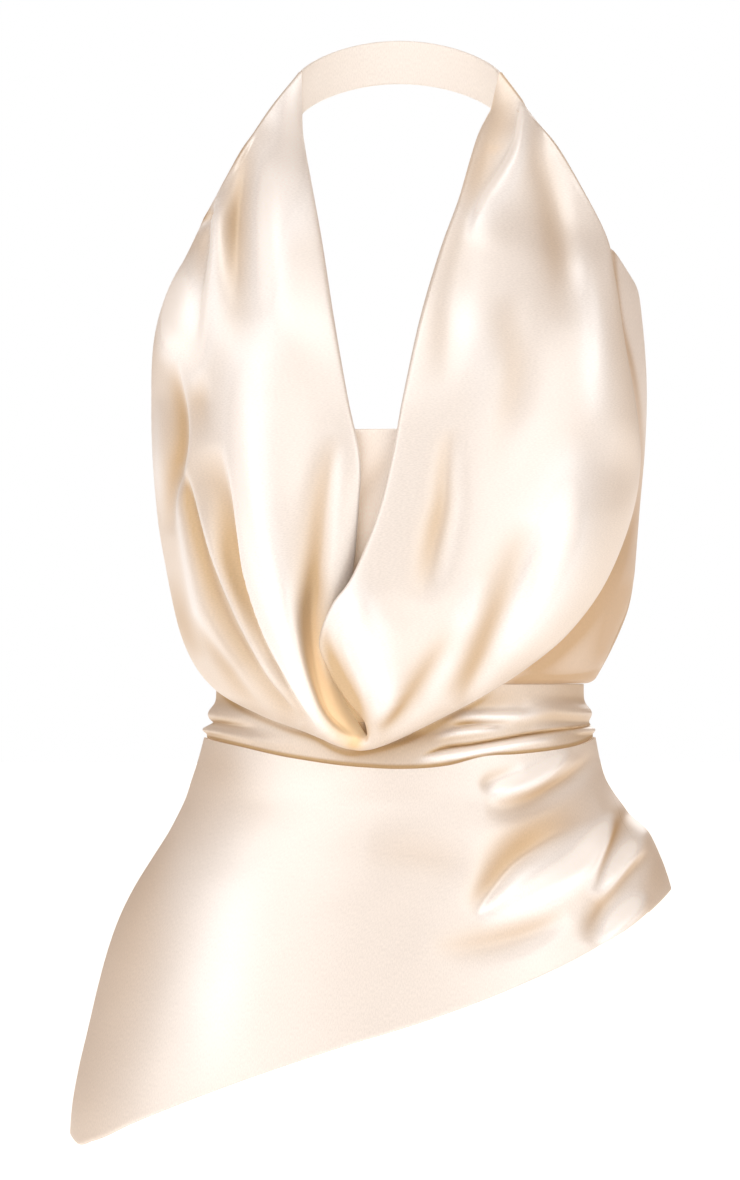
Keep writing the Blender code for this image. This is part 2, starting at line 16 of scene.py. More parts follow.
import bpy
import numpy as np
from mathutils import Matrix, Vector

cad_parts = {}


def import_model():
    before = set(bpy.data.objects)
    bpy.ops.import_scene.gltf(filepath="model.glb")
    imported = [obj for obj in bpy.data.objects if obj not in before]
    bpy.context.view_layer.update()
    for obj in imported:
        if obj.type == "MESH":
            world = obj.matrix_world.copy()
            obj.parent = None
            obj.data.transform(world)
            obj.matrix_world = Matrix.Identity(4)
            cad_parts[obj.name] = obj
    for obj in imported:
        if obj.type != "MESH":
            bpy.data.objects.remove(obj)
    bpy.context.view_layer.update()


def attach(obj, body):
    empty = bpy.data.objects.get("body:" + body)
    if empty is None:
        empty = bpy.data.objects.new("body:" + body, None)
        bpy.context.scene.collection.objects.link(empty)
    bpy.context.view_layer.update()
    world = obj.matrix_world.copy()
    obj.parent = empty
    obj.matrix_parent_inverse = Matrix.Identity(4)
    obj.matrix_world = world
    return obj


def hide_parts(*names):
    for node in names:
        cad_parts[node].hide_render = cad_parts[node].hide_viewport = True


LOG = logging.getLogger("cowl_neck_top")

Array = np.ndarray
Place = tuple[float, float]
Knot = tuple[float, float, float, float]
Colour = tuple[float, float, float, float]
Ramp = tuple[float, float]
Surface = Callable[[Array, Array], Array]
Socket = bpy.types.NodeSocket

MM = 0.001
NAPE_Y = 61.0
NAPE_Z = 424.5
PANEL_GAP = 0.6
WAIST_TOP_Z = 18.1
WHITE = (1.0, 1.0, 1.0, 1.0)
TINY = 1e-9

# Folds: samples of a path between knots, widths after which a fold is gone, how fast a lean sets in,
# and for a plain arc the place of its shoulders, its widths at both ends and the shoulders' height.
PATH_SAMPLES = 5
FOLD_REACH = 3.2
LEAN_RATE = 2.5
ARC_SHARES = (0.45, 0.55)
ARC_WIDTHS = (0.7, 0.8)
ARC_SHOULDER = 0.8
NOISE_SPAN = (0.3, 0.7)

# Painted shade: what a trough, a slope and a turn away from the light add; ramps are a start and a span;
# and where a painted highlight starts below zero shade and how strong it may get.
TROUGH_SHADE = 0.09
SLOPE_SHADE = 0.5
UNDER_SHARE = 0.7
SHADE_STEP = 1.5
SIDE_SHADE = 0.22
ASIDE_RAMP = (0.55, 0.45)
UNDER_RAMP = (0.15, 0.7)
FRONT_RAMP = (-0.2, 0.25)
PAINTED_HIGHLIGHT_START = 0.08
PAINTED_HIGHLIGHT_LIMIT = 0.15

# Steps over s and t for a normal, and the margin that keeps them off the edges.
PANEL_STEP = (0.004, 0.008)
PANEL_MARGIN = 0.01
LOBE_STEP = (0.02, 0.01)
LOBE_MARGIN = 0.02
SHARP_DEG = 50.0

# Attributes of the painted shade, with painted highlights below zero, and of the painted glow.
SHADE_NAME = "fold_shade"
GLOW_NAME = "fold_glow"
GRAIN_MAP = "cloth"


class Slot(Enum):
    """Material slots of the record."""

    FACE = "satin_face"
    INSIDE = "satin_inside"
    UNDER = "satin_under"
    WAIST = "satin_waist"
    SKIRT = "satin_skirt"


class Held(Enum):
    """Ways in which a sheet of cloth is held."""

    DRAPED = "draped"
    HUNG = "hung"
    FOLDED = "folded"


# Curves and folds


def ease(t: Array | float) -> Array:
    """Smooth step from 0 at t = 0 to 1 at t = 1."""
    t = np.clip(t, 0.0, 1.0)
    return t * t * (3.0 - 2.0 * t)


def ramp(value: Array | float, start: float, span: float) -> Array:
    """Smooth step from 0 at the start to 1 one span further on, downwards where the span is negative."""
    return ease((value - start) / span)


def front_share(angle: Array) -> Array:
    """Share that the front has at an angle: 1 in front, 0 behind, blended just behind the sides."""
    return ramp(np.cos(angle), *FRONT_RAMP)


def off_edge(place: Array, margin: float) -> Array:
    """A place from 0 to 1, held a margin away from both ends."""
    return np.clip(place, margin, 1.0 - margin)


def outward(step: Array, inside: Array) -> Array:
    """Unit direction of a step along the cloth, made square to its inward normal."""
    level = step - inside * np.sum(step * inside, axis=-1, keepdims=True)
    return level / np.maximum(np.linalg.norm(level, axis=-1, keepdims=True), TINY)


def through(knots: Array, values: Array, at: Array) -> Array:
    """Reads a cubic curve that runs through values at rising knots.

    Args:
        knots: rising places of the values.
        values: one value for each knot.
        at: places to read, held inside the knots' range.

    Returns:
        The curve's value at each place.
    """
    slopes = np.gradient(values, knots)
    low = np.clip(np.searchsorted(knots, at, side="right") - 1, 0, len(knots) - 2)
    span = knots[low + 1] - knots[low]
    t = np.clip((at - knots[low]) / span, 0.0, 1.0)
    a = (1 + 2 * t) * (1 - t) ** 2
    b = t * (1 - t) ** 2 * span
    c = t * t * (3 - 2 * t)
    d = t * t * (t - 1) * span
    return a * values[low] + b * slopes[low] + c * values[low + 1] + d * slopes[low + 1]


class Columns:
    """A table of sizes with named columns, joined by smooth curves over its first column."""

    def __init__(self, names: str, rows: tuple[tuple[float, ...], ...]) -> None:
        """Keeps the rows in rising order of the first column."""
        data = np.array(rows, float)
        self.names = names.split()
        self.data = data[::-1] if data[0, 0] > data[-1, 0] else data

    def read(self, name: str, at: Array | float) -> Array:
        """Value of one column at the given places of the first column."""
        values = self.data[:, self.names.index(name)]
        return through(self.data[:, 0], values, np.asarray(at, float))


class Fold:
    """A ridge or trough along a bent path, seen from the front, with a width and height at each knot."""

    def __init__(self, *knots: Knot, lean: float = 0.0) -> None:
        """Runs a smooth path through the knots.

        Args:
            knots: x, z, width and height of the fold at each knot.
            lean: share by which the side to the left of the path is wider, and the other steeper.
        """
        rows = np.array(knots, float)
        step = np.hypot(*np.diff(rows[:, :2], axis=0).T)
        way = np.concatenate([[0.0], np.cumsum(step)])
        places = np.linspace(0.0, way[-1], PATH_SAMPLES * (len(rows) - 1) + 1)
        self.path = np.stack([through(way, rows[:, i], places) for i in range(4)], axis=-1)
        self.lean = lean

    @classmethod
    def arc(cls, start: Place, middle: Place, end: Place, width: float, height: float) -> Fold:
        """A plain soft fold that fades at both ends of a bent path.

        Args:
            start: x and z where it begins.
            middle: x and z where it is highest.
            end: x and z where it ends.
            width: width in the middle.
            height: height in the middle, below zero for a trough.

        Returns:
            The fold.
        """
        near, far = ARC_SHARES
        shoulder = ARC_SHOULDER * height
        first = tuple(near * a + far * b for a, b in zip(start, middle))
        last = tuple(near * a + far * b for a, b in zip(end, middle))
        return cls(
            (*start, ARC_WIDTHS[0] * width, 0.0),
            (*first, width, shoulder),
            (*middle, width, height),
            (*last, width, shoulder),
            (*end, ARC_WIDTHS[1] * width, 0.0),
        )

    def height(self, x: Array, z: Array) -> Array:
        """Height of the fold above the unfolded cloth at places seen from the front."""
        reach = FOLD_REACH * self.path[:, 2].max()
        low = self.path[:, :2].min(axis=0) - reach
        high = self.path[:, :2].max(axis=0) + reach
        near = (x > low[0]) & (x < high[0]) & (z > low[1]) & (z < high[1])
        total = np.zeros(x.shape)
        if near.any():
            total[near] = self._profile(x[near], z[near])
        return total

    def _profile(self, x: Array, z: Array) -> Array:
        """Bell-shaped profile round the nearest run of the path."""
        nearest = np.full(x.shape, np.inf)
        side, width, height = (np.zeros(x.shape) for _ in range(3))
        for here, after in zip(self.path[:-1], self.path[1:]):
            run = after[:2] - here[:2]
            length2 = float(run @ run)
            dx, dz = x - here[0], z - here[1]
            f = np.clip((dx * run[0] + dz * run[1]) / length2, 0.0, 1.0)
            distance = np.hypot(dx - f * run[0], dz - f * run[1])
            closer = distance < nearest
            nearest = np.where(closer, distance, nearest)
            side = np.where(closer, (run[0] * dz - run[1] * dx) / math.sqrt(length2), side)
            width = np.where(closer, here[2] + f * (after[2] - here[2]), width)
            height = np.where(closer, here[3] + f * (after[3] - here[3]), height)
        width = width * (1.0 + np.tanh(LEAN_RATE * side / width) * self.lean)
        return height * np.exp(-((nearest / width) ** 2))


class FoldSet:
    """The folds of one area of cloth."""

    def __init__(self, *folds: Fold) -> None:
        """Keeps the folds."""
        self.folds = folds

    def depth(self, x: Array, z: Array) -> Array:
        """Sum of the folds' heights at places seen from the front."""
        total = np.zeros(x.shape)
        for fold in self.folds:
            total += fold.height(x, z)
        return total

    def shade(self, x: Array, z: Array) -> Array:
        """Depth of painted shade in the folds: deepest low in a trough and on slopes that turn right and
        down, and below zero on ridges and on slopes that turn left and up, where a highlight is painted.
        """
        step = SHADE_STEP
        right = (self.depth(x - step, z) - self.depth(x + step, z)) / (2 * step)
        under = (self.depth(x, z + step) - self.depth(x, z - step)) / (2 * step)
        return TROUGH_SHADE * -self.depth(x, z) + SLOPE_SHADE * (right + UNDER_SHARE * under)


def normals_of(surface: Surface, s: Array, t: Array, ds: float, dt: float) -> Array:
    """Unit normals of a surface function on its outer face, from differences of ds and dt."""
    across = surface(s + ds, t) - surface(s - ds, t)
    down = surface(s, t + dt) - surface(s, t - dt)
    normal = np.cross(down, across)
    return normal / np.maximum(np.linalg.norm(normal, axis=-1, keepdims=True), TINY)


def side_shade(normal: Array) -> Array:
    """Shade of cloth that turns away to a side or underneath, where less of the studio's light falls."""
    aside = ramp(np.abs(normal[..., 0]), *ASIDE_RAMP)
    under = ramp(-normal[..., 2], *UNDER_RAMP)
    return SIDE_SHADE * (aside + under)


def on_oval(angle: Array, left: Array, right: Array, front: Array, back: Array) -> tuple[Array, Array]:
    """x and y on an oval with its own half widths and depths for each quarter."""
    sine, cosine = np.sin(angle), np.cos(angle)
    return np.where(sine < 0, left, right) * sine, -np.where(cosine > 0, front, back) * cosine


def oval_normal(angle: Array, left: Array, right: Array, front: Array, back: Array) -> tuple[Array, Array]:
    """Level outward normal of the same oval."""
    sine, cosine = np.sin(angle), np.cos(angle)
    wide, deep = np.where(sine < 0, left, right), np.where(cosine > 0, front, back)
    length = np.hypot(deep * sine, wide * cosine)
    return deep * sine / length, -wide * cosine / length


# Satin


@dataclass(frozen=True)
class SatinFinish:
    """Finish of one satin: its colours, gloss and grain.

    Attributes:
        name: material's name.
        face: colour of the cloth where it is smooth.
        fold: colour of the painted shade in its folds, and of the glow painted there as light bouncing from
            satin to satin.
        roughness: mean roughness of the face.
        metallic: share of the gloss that takes the cloth's colour.
        grain: height of the weave's grain in millimetres.
        bump: strength of that grain.
        brushed: stretch of the highlights along the thread.
        specular: strength of the highlights.
        sheen: strength of the soft light at grazing angles.
        sheen_roughness: spread of that light.
    """

    name: str
    face: Colour
    fold: Colour
    roughness: float = 0.42
    metallic: float = 0.35
    grain: float = 0.05
    bump: float = 0.5
    brushed: float = 0.35
    specular: float = 0.6
    sheen: float = 0.08
    sheen_roughness: float = 0.5

    def material(self, group: bpy.types.NodeTree) -> bpy.types.Material:
        """Builds the material.

        Args:
            group: the shared satin grain group.

        Returns:
            The finished material.
        """
        made = bpy.data.materials.new(self.name)
        made.use_nodes = True
        nodes, links = made.node_tree.nodes, made.node_tree.links
        shader = nodes["Principled BSDF"]
        cloth = nodes.new("ShaderNodeGroup")
        cloth.node_tree = group
        for name, value in (("Face", self.face), ("Fold", self.fold), ("Roughness", self.roughness)):
            cloth.inputs[name].default_value = value
        for attribute, name in ((SHADE_NAME, "Shade"), (GLOW_NAME, "Glow")):
            painted = nodes.new("ShaderNodeAttribute")
            painted.attribute_name = attribute
            links.new(painted.outputs["Fac"], cloth.inputs[name])
        bump = nodes.new("ShaderNodeBump")
        bump.inputs["Distance"].default_value = self.grain * MM
        bump.inputs["Strength"].default_value = self.bump
        links.new(cloth.outputs["Height"], bump.inputs["Height"])
        links.new(bump.outputs["Normal"], shader.inputs["Normal"])
        links.new(cloth.outputs["Colour"], shader.inputs["Base Color"])
        links.new(cloth.outputs["Roughness"], shader.inputs["Roughness"])
        # Painted glow and painted highlight, given off as emission.
        links.new(cloth.outputs["Painted Light"], shader.inputs["Emission Color"])
        constants = {
            "Emission Strength": 1.0,
            "Metallic": self.metallic,
            "Anisotropic": self.brushed,
            "Specular IOR Level": self.specular,
            "Sheen Weight": self.sheen,
            "Sheen Roughness": self.sheen_roughness,
        }
        for name, value in constants.items():
            shader.inputs[name].default_value = value
        return made


@dataclass
class SatinGrain:
    """Shader group shared by every satin: painted fold shade, a painted glow and painted highlights given
    off as emission, weave grain and faint unevenness.

    Attributes:
        weave_scale: threads of the weave's noise over a metre.
        weave_detail: detail of that noise.
        weave_stretch: its stretch along the thread.
        cloud_scale: scale of the faint unevenness.
        cloud_detail: detail of that unevenness.
        speck: range of brightness from thread to thread.
        haze: range of brightness of the unevenness.
        polish: range of roughness from thread to thread.
    """

    weave_scale: float = 1400.0
    weave_detail: float = 2.0
    weave_stretch: tuple[float, float, float] = (1.0, 0.35, 1.0)
    cloud_scale: float = 34.0
    cloud_detail: float = 3.0
    speck: Place = (0.945, 1.055)
    haze: Place = (0.99, 1.01)
    polish: Place = (0.9, 1.1)

    def build(self) -> bpy.types.NodeTree:
        """Makes the group with its named sockets.

        Returns:
            The node group.
        """
        group = bpy.data.node_groups.new("satin_grain", "ShaderNodeTree")
        sockets = (
            ("INPUT", "NodeSocketColor", ("Face", "Fold")),
            ("INPUT", "NodeSocketFloat", ("Shade", "Glow", "Roughness")),
            ("OUTPUT", "NodeSocketColor", ("Colour", "Painted Light")),
            ("OUTPUT", "NodeSocketFloat", ("Roughness", "Height")),
        )
        for side, kind, names in sockets:
            for name in names:
                group.interface.new_socket(name, in_out=side, socket_type=kind)
        self.nodes, self.links = group.nodes, group.links
        given = self.nodes.new("NodeGroupInput")
        out = self.nodes.new("NodeGroupOutput")
        cloth = self.nodes.new("ShaderNodeUVMap")
        cloth.uv_map = GRAIN_MAP
        place = cloth.outputs["UV"]
        weave = self._noise(place, self.weave_scale, self.weave_detail, self.weave_stretch)
        cloud = self._noise(place, self.cloud_scale, self.cloud_detail, (1.0, 1.0, 1.0))
        # Painted shade: the face colour darkened towards the fold colour by the shade attribute.
        painted_fold_shade = self._mix(given.outputs["Shade"], given.outputs["Face"], given.outputs["Fold"])
        speck = self._range(weave, *self.speck)
        haze = self._range(cloud, *self.haze)
        colour = self._scaled(self._scaled(painted_fold_shade, speck), haze)
        rough = self._math("MULTIPLY", given.outputs["Roughness"], self._range(weave, *self.polish))
        self.links.new(colour, out.inputs["Colour"])
        # Painted glow from the fold colour, and a painted highlight from the face colour where the shade is
        # below zero; both are given off as emission.
        bounce = self._scaled(given.outputs["Fold"], given.outputs["Glow"])
        lit = self._range(given.outputs["Shade"], 1.0, 0.0, (-1.0, 0.0))
        sheen = self._scaled(given.outputs["Face"], lit)
        self.links.new(self._sum(bounce, sheen), out.inputs["Painted Light"])
        self.links.new(rough, out.inputs["Roughness"])
        self.links.new(weave, out.inputs["Height"])
        return group

    def _noise(
        self, place: Socket, scale: float, detail: float, stretch: tuple[float, float, float]
    ) -> Socket:
        """Noise over the cloth, stretched along the thread."""
        mapping = self.nodes.new("ShaderNodeMapping")
        mapping.inputs["Scale"].default_value = stretch
        self.links.new(place, mapping.inputs["Vector"])
        noise = self.nodes.new("ShaderNodeTexNoise")
        noise.inputs["Scale"].default_value = scale
        noise.inputs["Detail"].default_value = detail
        self.links.new(mapping.outputs["Vector"], noise.inputs["Vector"])
        return noise.outputs["Fac"]

    def _range(self, value: Socket, low: float, high: float, span: Place = NOISE_SPAN) -> Socket:
        """A value spread from low to high over its span, which for noise is its usual range."""
        spread = self.nodes.new("ShaderNodeMapRange")
        spread.inputs["From Min"].default_value = span[0]
        spread.inputs["From Max"].default_value = span[1]
        spread.inputs["To Min"].default_value = low
        spread.inputs["To Max"].default_value = high
        self.links.new(value, spread.inputs["Value"])
        return spread.outputs["Result"]

    def _mix(self, share: Socket, first: Socket, second: Socket) -> Socket:
        """Mix of two colours by a share."""
        mix = self.nodes.new("ShaderNodeMix")
        mix.data_type = "RGBA"
        self.links.new(share, mix.inputs["Factor"])
        self.links.new(first, mix.inputs["A"])
        self.links.new(second, mix.inputs["B"])
        return next(output for output in mix.outputs if output.type == "RGBA")

    def _scaled(self, colour: Socket, value: Socket) -> Socket:
        """A colour made lighter or darker by a value near one."""
        return self._vector("SCALE", colour, value, "Scale")

    def _sum(self, first: Socket, second: Socket) -> Socket:
        """Two colours added."""
        return self._vector("ADD", first, second, 1)

    def _vector(self, operation: str, first: Socket, second: Socket, place: str | int) -> Socket:
        """One sum on a colour and the socket at the given place."""
        node = self.nodes.new("ShaderNodeVectorMath")
        node.operation = operation
        self.links.new(first, node.inputs[0])
        self.links.new(second, node.inputs[place])
        return node.outputs["Vector"]

    def _math(self, operation: str, first: Socket, second: Socket) -> Socket:
        """One sum on two values."""
        node = self.nodes.new("ShaderNodeMath")
        node.operation = operation
        self.links.new(first, node.inputs[0])
        self.links.new(second, node.inputs[1])
        return node.outputs["Value"]


# Sheets


@dataclass
class Sheet:
    """A grid of cloth points and what is painted on them.

    Attributes:
        points: the grid, in millimetres of the garment.
        shade: depth of painted shade at each point, below 0 where a highlight is painted.
        glow: painted glow, as of light that bounces there, or None where there is none.
    """

    points: Array
    shade: Array
    glow: Array | None = None


@dataclass(frozen=True)
class Turn:
    """A turned edge.

    Attributes:
        radius: radius of the fold.
        depth: depth of the cloth folded under.
        arc: rows round the fold.
        rows: rows of the cloth folded under.
    """

    radius: float
    depth: float
    arc: int = 6
    rows: int = 4


@dataclass
class ClothPiece:
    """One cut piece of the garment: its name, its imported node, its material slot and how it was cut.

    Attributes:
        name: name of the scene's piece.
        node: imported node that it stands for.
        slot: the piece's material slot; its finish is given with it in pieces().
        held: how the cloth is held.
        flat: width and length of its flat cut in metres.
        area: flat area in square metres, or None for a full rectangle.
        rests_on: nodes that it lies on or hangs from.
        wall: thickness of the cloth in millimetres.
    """

    name: str
    node: str
    slot: Slot
    held: Held
    flat: tuple[float, float]
    area: float | None = None
    rests_on: tuple[str, ...] = ()
    wall: float = 0.9

    def sheet(self) -> Sheet:
        """Points and shade of the worn cloth."""
        raise NotImplementedError

    def build(self) -> bpy.types.Object:
        """Makes the piece's mesh, with its wall, its cloth map and the shade of its folds.

        Returns:
            The new object.
        """
        sheet = self.sheet()
        mesh = self._mesh(sheet)
        piece = bpy.data.objects.new(self.name, mesh)
        bpy.context.scene.collection.objects.link(piece)
        shell = piece.modifiers.new("wall", "SOLIDIFY")
        shell.thickness = self.wall * MM
        shell.offset = 0.0
        graph = bpy.context.evaluated_depsgraph_get()
        piece.data = bpy.data.meshes.new_from_object(piece.evaluated_get(graph))
        piece.modifiers.clear()
        piece.data.set_sharp_from_angle(angle=math.radians(SHARP_DEG))
        bpy.data.meshes.remove(mesh)
        return piece

    def _mesh(self, sheet: Sheet) -> bpy.types.Mesh:
        """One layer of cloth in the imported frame, with its map, shade and glow."""
        across, down = sheet.points.shape[:2]
        row_frame = (sheet.points - np.array((0.0, NAPE_Y, NAPE_Z))) * MM
        index = np.arange(across * down).reshape(across, down)
        corners = (index[:-1, :-1], index[1:, :-1], index[1:, 1:], index[:-1, 1:])
        faces = np.stack(corners, axis=-1).reshape(-1, 4)
        mesh = bpy.data.meshes.new(self.name)
        mesh.from_pydata(row_frame.reshape(-1, 3).tolist(), [], faces.tolist())
        paint(mesh, SHADE_NAME, painted_shade(sheet.shade))
        if sheet.glow is not None:
            paint(mesh, GLOW_NAME, np.clip(sheet.glow, 0.0, 1.0))
        layer = mesh.uv_layers.new(name=GRAIN_MAP)
        layer.data.foreach_set("uv", cloth_map(row_frame)[faces.ravel()].astype(np.float32).ravel())
        mesh.shade_smooth()
        return mesh

    def dress(self, piece: bpy.types.Object, material: bpy.types.Material) -> None:
        """Gives the piece its satin, hangs it from the root and hides the imported node it stands for.

        Args:
            piece: the built object.
            material: its satin.
        """
        piece.data.materials.append(material)
        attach(piece, "root")
        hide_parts(self.node)


def painted_shade(shade: Array) -> Array:
    """Painted shade as the satin takes it: up to 1 in the folds, and softly held below 0 where a highlight
    is painted.
    """
    lit = PAINTED_HIGHLIGHT_LIMIT * np.tanh(np.minimum(shade + PAINTED_HIGHLIGHT_START, 0.0) / PAINTED_HIGHLIGHT_LIMIT)
    return np.where(shade < 0, lit, np.minimum(shade, 1.0))


def paint(mesh: bpy.types.Mesh, name: str, values: Array) -> None:
    """Gives each point of a mesh one value under a name that the satin reads."""
    layer = mesh.attributes.new(name, "FLOAT", "POINT")
    layer.data.foreach_set("value", values.astype(np.float32).ravel())


def cloth_map(points: Array) -> Array:
    """Map of the cloth in metres, measured along the grid's middle lines.

    Args:
        points: grid of points in metres.

    Returns:
        One place on the flat cloth for each point, in the points' order.
    """
    across = np.linalg.norm(np.diff(points, axis=0), axis=-1).mean(axis=1)
    down = np.linalg.norm(np.diff(points, axis=1), axis=-1)
    u = np.concatenate([[0.0], np.cumsum(across)])[:, None]
    v = np.concatenate([np.zeros((len(points), 1)), np.cumsum(down, axis=1)], axis=1)
    return np.stack([u + 0 * v, v], axis=-1).reshape(-1, 2)


def turned_rows(surface: Surface, s: Array, t_edge: float, turn: Turn, length: Array) -> list[Array]:
    """Rows that fold an edge of a panel to its inside.

    Args:
        surface: points of the panel over s and t.
        s: column of places along the edge.
        t_edge: 0.0 or 1.0, the edge that is turned.
        turn: radius and depth of the turn.
        length: length of the panel in millimetres along t, for each place along the edge.

    Returns:
        The rows in order from the edge inwards.
    """
    t = np.full_like(s, t_edge)
    sign = 1.0 if t_edge > 0.5 else -1.0
    point = surface(s, t)
    inside = -normals_of(surface, s, off_edge(t, PANEL_MARGIN), *PANEL_STEP)
    out = outward(point - surface(s, t - sign * PANEL_MARGIN), inside)
    rows = []
    for angle in np.linspace(0.0, math.pi, turn.arc + 1)[1:]:
        rows.append(point + turn.radius * (out * math.sin(angle) + inside * (1 - math.cos(angle))))
    for part in np.linspace(0.0, 1.0, turn.rows + 1)[1:]:
        back = t - sign * turn.depth * part / np.maximum(length, 1.0)
        under = -normals_of(surface, s, off_edge(back, PANEL_MARGIN), *PANEL_STEP)
        rows.append(surface(s, back) + under * 2 * turn.radius)
    return rows


def panel_sheet(
    surface: Surface,
    shade: Surface,
    columns: int,
    rows: int,
    top: Turn | None = None,
    bottom: Turn | None = None,
    glow: Surface | None = None,
) -> Sheet:
    """Grid of a panel over s and t from 0 to 1, with its turned upper and lower edges.

    Args:
        surface: points of the panel.
        shade: depth of shade in its folds, for the same places.
        columns: points along s.
        rows: points along t.
        top: turn of the edge at t = 0.
        bottom: turn of the edge at t = 1.
        glow: painted glow, as of light caught in its folds, for the same places.

    Returns:
        The panel's sheet.
    """
    s = np.linspace(0.0, 1.0, columns)[:, None]
    t = np.linspace(0.0, 1.0, rows)[None, :]
    points = surface(s + 0 * t, t + 0 * s)
    length = np.linalg.norm(np.diff(points, axis=1), axis=-1).sum(axis=1)[:, None]
    above = turned_rows(surface, s, 0.0, top, length)[::-1] if top else []
    below = turned_rows(surface, s, 1.0, bottom, length) if bottom else []

    def spread(paint_at: Surface) -> Array:
        """Paint over the panel, carried on over its turned edges."""
        middle = paint_at(s + 0 * t, t + 0 * s)
        ends = [middle[:, :1]] * len(above), [middle[:, -1:]] * len(below)
        return np.concatenate(ends[0] + [middle] + ends[1], axis=1)

    grid = np.concatenate(above + [points] + below, axis=1)
    return Sheet(grid, spread(shade), spread(glow) if glow else None)


@dataclass(frozen=True)
class Spot:
    """Places on the figure under a panel, before its folds.

    Attributes:
        angle: angles to the viewer's right of the front.
        sizes: half widths to the left and right, and depths to the front and back.
        x, y, z: the places.
    """

    angle: Array
    sizes: list[Array]
    x: Array
    y: Array
    z: Array


@dataclass
class OvalPanel(ClothPiece):
    """A panel that wraps the oval figure, with folds on its front and its back.

    Attributes:
        first_deg, last_deg: angles of its side seams at the top and low down.
        columns, rows: points round the figure and down it.
        top_turn, bottom_turn: turns of its upper and lower edges.
        front_folds, back_folds: its folds.
        lit: where a glow is painted on its front, as of light bouncing there, if it lies behind an opening
            of the drape.
        resting: shade of flat cloth.
    """

    first_deg: tuple[float, float] = (0.0, 0.0)
    last_deg: tuple[float, float] = (0.0, 0.0)
    columns: int = 200
    rows: int = 60
    top_turn: Turn | None = None
    bottom_turn: Turn | None = None
    front_folds: FoldSet = FoldSet()
    back_folds: FoldSet = FoldSet()
    lit: FoldSet | None = None
    resting: float = 0.16

    def sheet(self) -> Sheet:
        """Points of the panel with its turned edges."""
        glow = self._glow if self.lit else None
        turns = self.top_turn, self.bottom_turn
        return panel_sheet(self._surface, self._shade, self.columns, self.rows, *turns, glow)

    def _spot(self, s: Array, t: Array) -> Spot:
        """Places on the figure under the panel."""
        angle, z, sizes = self._oval(s, t)
        return Spot(angle, sizes, *on_oval(angle, *sizes), z)

    def _oval(self, s: Array, t: Array) -> tuple[Array, Array, list[Array]]:
        """Angles and heights of places on the panel, with the figure's sizes there."""
        raise NotImplementedError

    def _depth(self, spot: Spot, t: Array) -> Array:
        """Height of the folds."""
        front = front_share(spot.angle)
        ahead = self.front_folds.depth(spot.x, spot.z)
        return front * ahead + (1 - front) * self.back_folds.depth(spot.x, spot.z)

    def _surface(self, s: Array, t: Array) -> Array:
        """Points of the folded panel."""
        spot = self._spot(s, t)
        nx, ny = oval_normal(spot.angle, *spot.sizes)
        depth = self._depth(spot, t)
        return np.stack([spot.x + nx * depth, spot.y + ny * depth, spot.z], axis=-1)

    def _shade(self, s: Array, t: Array) -> Array:
        """Shade of places on the panel."""
        raise NotImplementedError

    def _glow(self, s: Array, t: Array) -> Array:
        """Painted glow, as of light that bounces on the panel behind the drape."""
        spot = self._spot(s, t)
        return front_share(spot.angle) * self.lit.depth(spot.x, spot.z)


# Bodice


BODICE = Columns(
    "height wide front back",
    (
        (303, 149.5, 80, 80),
        (285, 153, 89, 86),
        (268, 155.8, 96, 90),
        (233, 159.3, 107, 93),
        (203, 160.3, 114, 94),
        (170, 159, 117, 94),
        (136, 156, 116.5, 93),
        (111, 154, 114.5, 92),
        (86, 151.8, 111.5, 91),
        (68, 148.5, 108, 90),
        (53, 143, 104, 89.5),
        (38, 136, 99, 89),
        (27, 130, 94.5, 88.5),
        (21.5, 126.5, 91.5, 88),
        (19.4, 122.8, 89, 87.5),
        (19, 119.6, 87, 86.8),
    ),
)
BODICE_EDGE = Columns(
    "degrees height",
    (
        (-94.0, 258.0), (-86.0, 266.0), (-72.0, 268.0), (-60.0, 250.0), (-44.0, 205.0), (-32.0, 184.0),
        (-18.0, 182.0), (0.0, 182.0), (18.0, 182.0), (32.0, 186.0), (46.0, 224.0), (57.0, 279.0),
        (62.0, 301.0), (66.0, 300.0), (74.0, 287.5), (86.0, 271.0), (94.0, 258.0), (108.0, 214.0),
        (126.0, 146.0), (146.0, 92.0), (164.0, 70.0), (180.0, 66.0),
    ),
)
BODICE_FOLDS = FoldSet(
    Fold.arc((0, 186), (-12, 160), (-30, 132), 8, -1.6),
    Fold.arc((140, 120), (118, 60), (96, 22), 12, 1.8),
    Fold.arc((150, 90), (138, 50), (124, 24), 8, -1.8),
    Fold.arc((120, 70), (104, 44), (88, 22), 9, -1.4),
)
# Painted glow on the waistband and bodice behind the cowl's mouth, and on the bodice behind the neckline.
MOUTH_FLOOR_GLOW = FoldSet(
    Fold((-60, 60, 9, 0), (-46, 34, 11, 0.5), (-34, 8, 10, 0.6), (-28, -6, 7, 0.6), (-24, -16, 4, 0)),
)
NECK_FLOOR_GLOW = FoldSet(
    *MOUTH_FLOOR_GLOW.folds,
    Fold((-20, 200, 14, 0.1), (-24, 160, 16, 0.22), (-26, 110, 14, 0.25), (-30, 80, 10, 0)),
)
BODICE_BACK_FOLDS = FoldSet(
    Fold.arc((-120, 150), (-90, 90), (-70, 24), 14, 2),
    Fold.arc((-90, 120), (-60, 70), (-46, 24), 10, -1.8),
    Fold.arc((110, 140), (84, 80), (60, 24), 13, -1.8),
    Fold.arc((60, 66), (40, 44), (30, 22), 9, 1.6),
    Fold.arc((-10, 60), (-4, 40), (-2, 22), 10, -1.4),
)


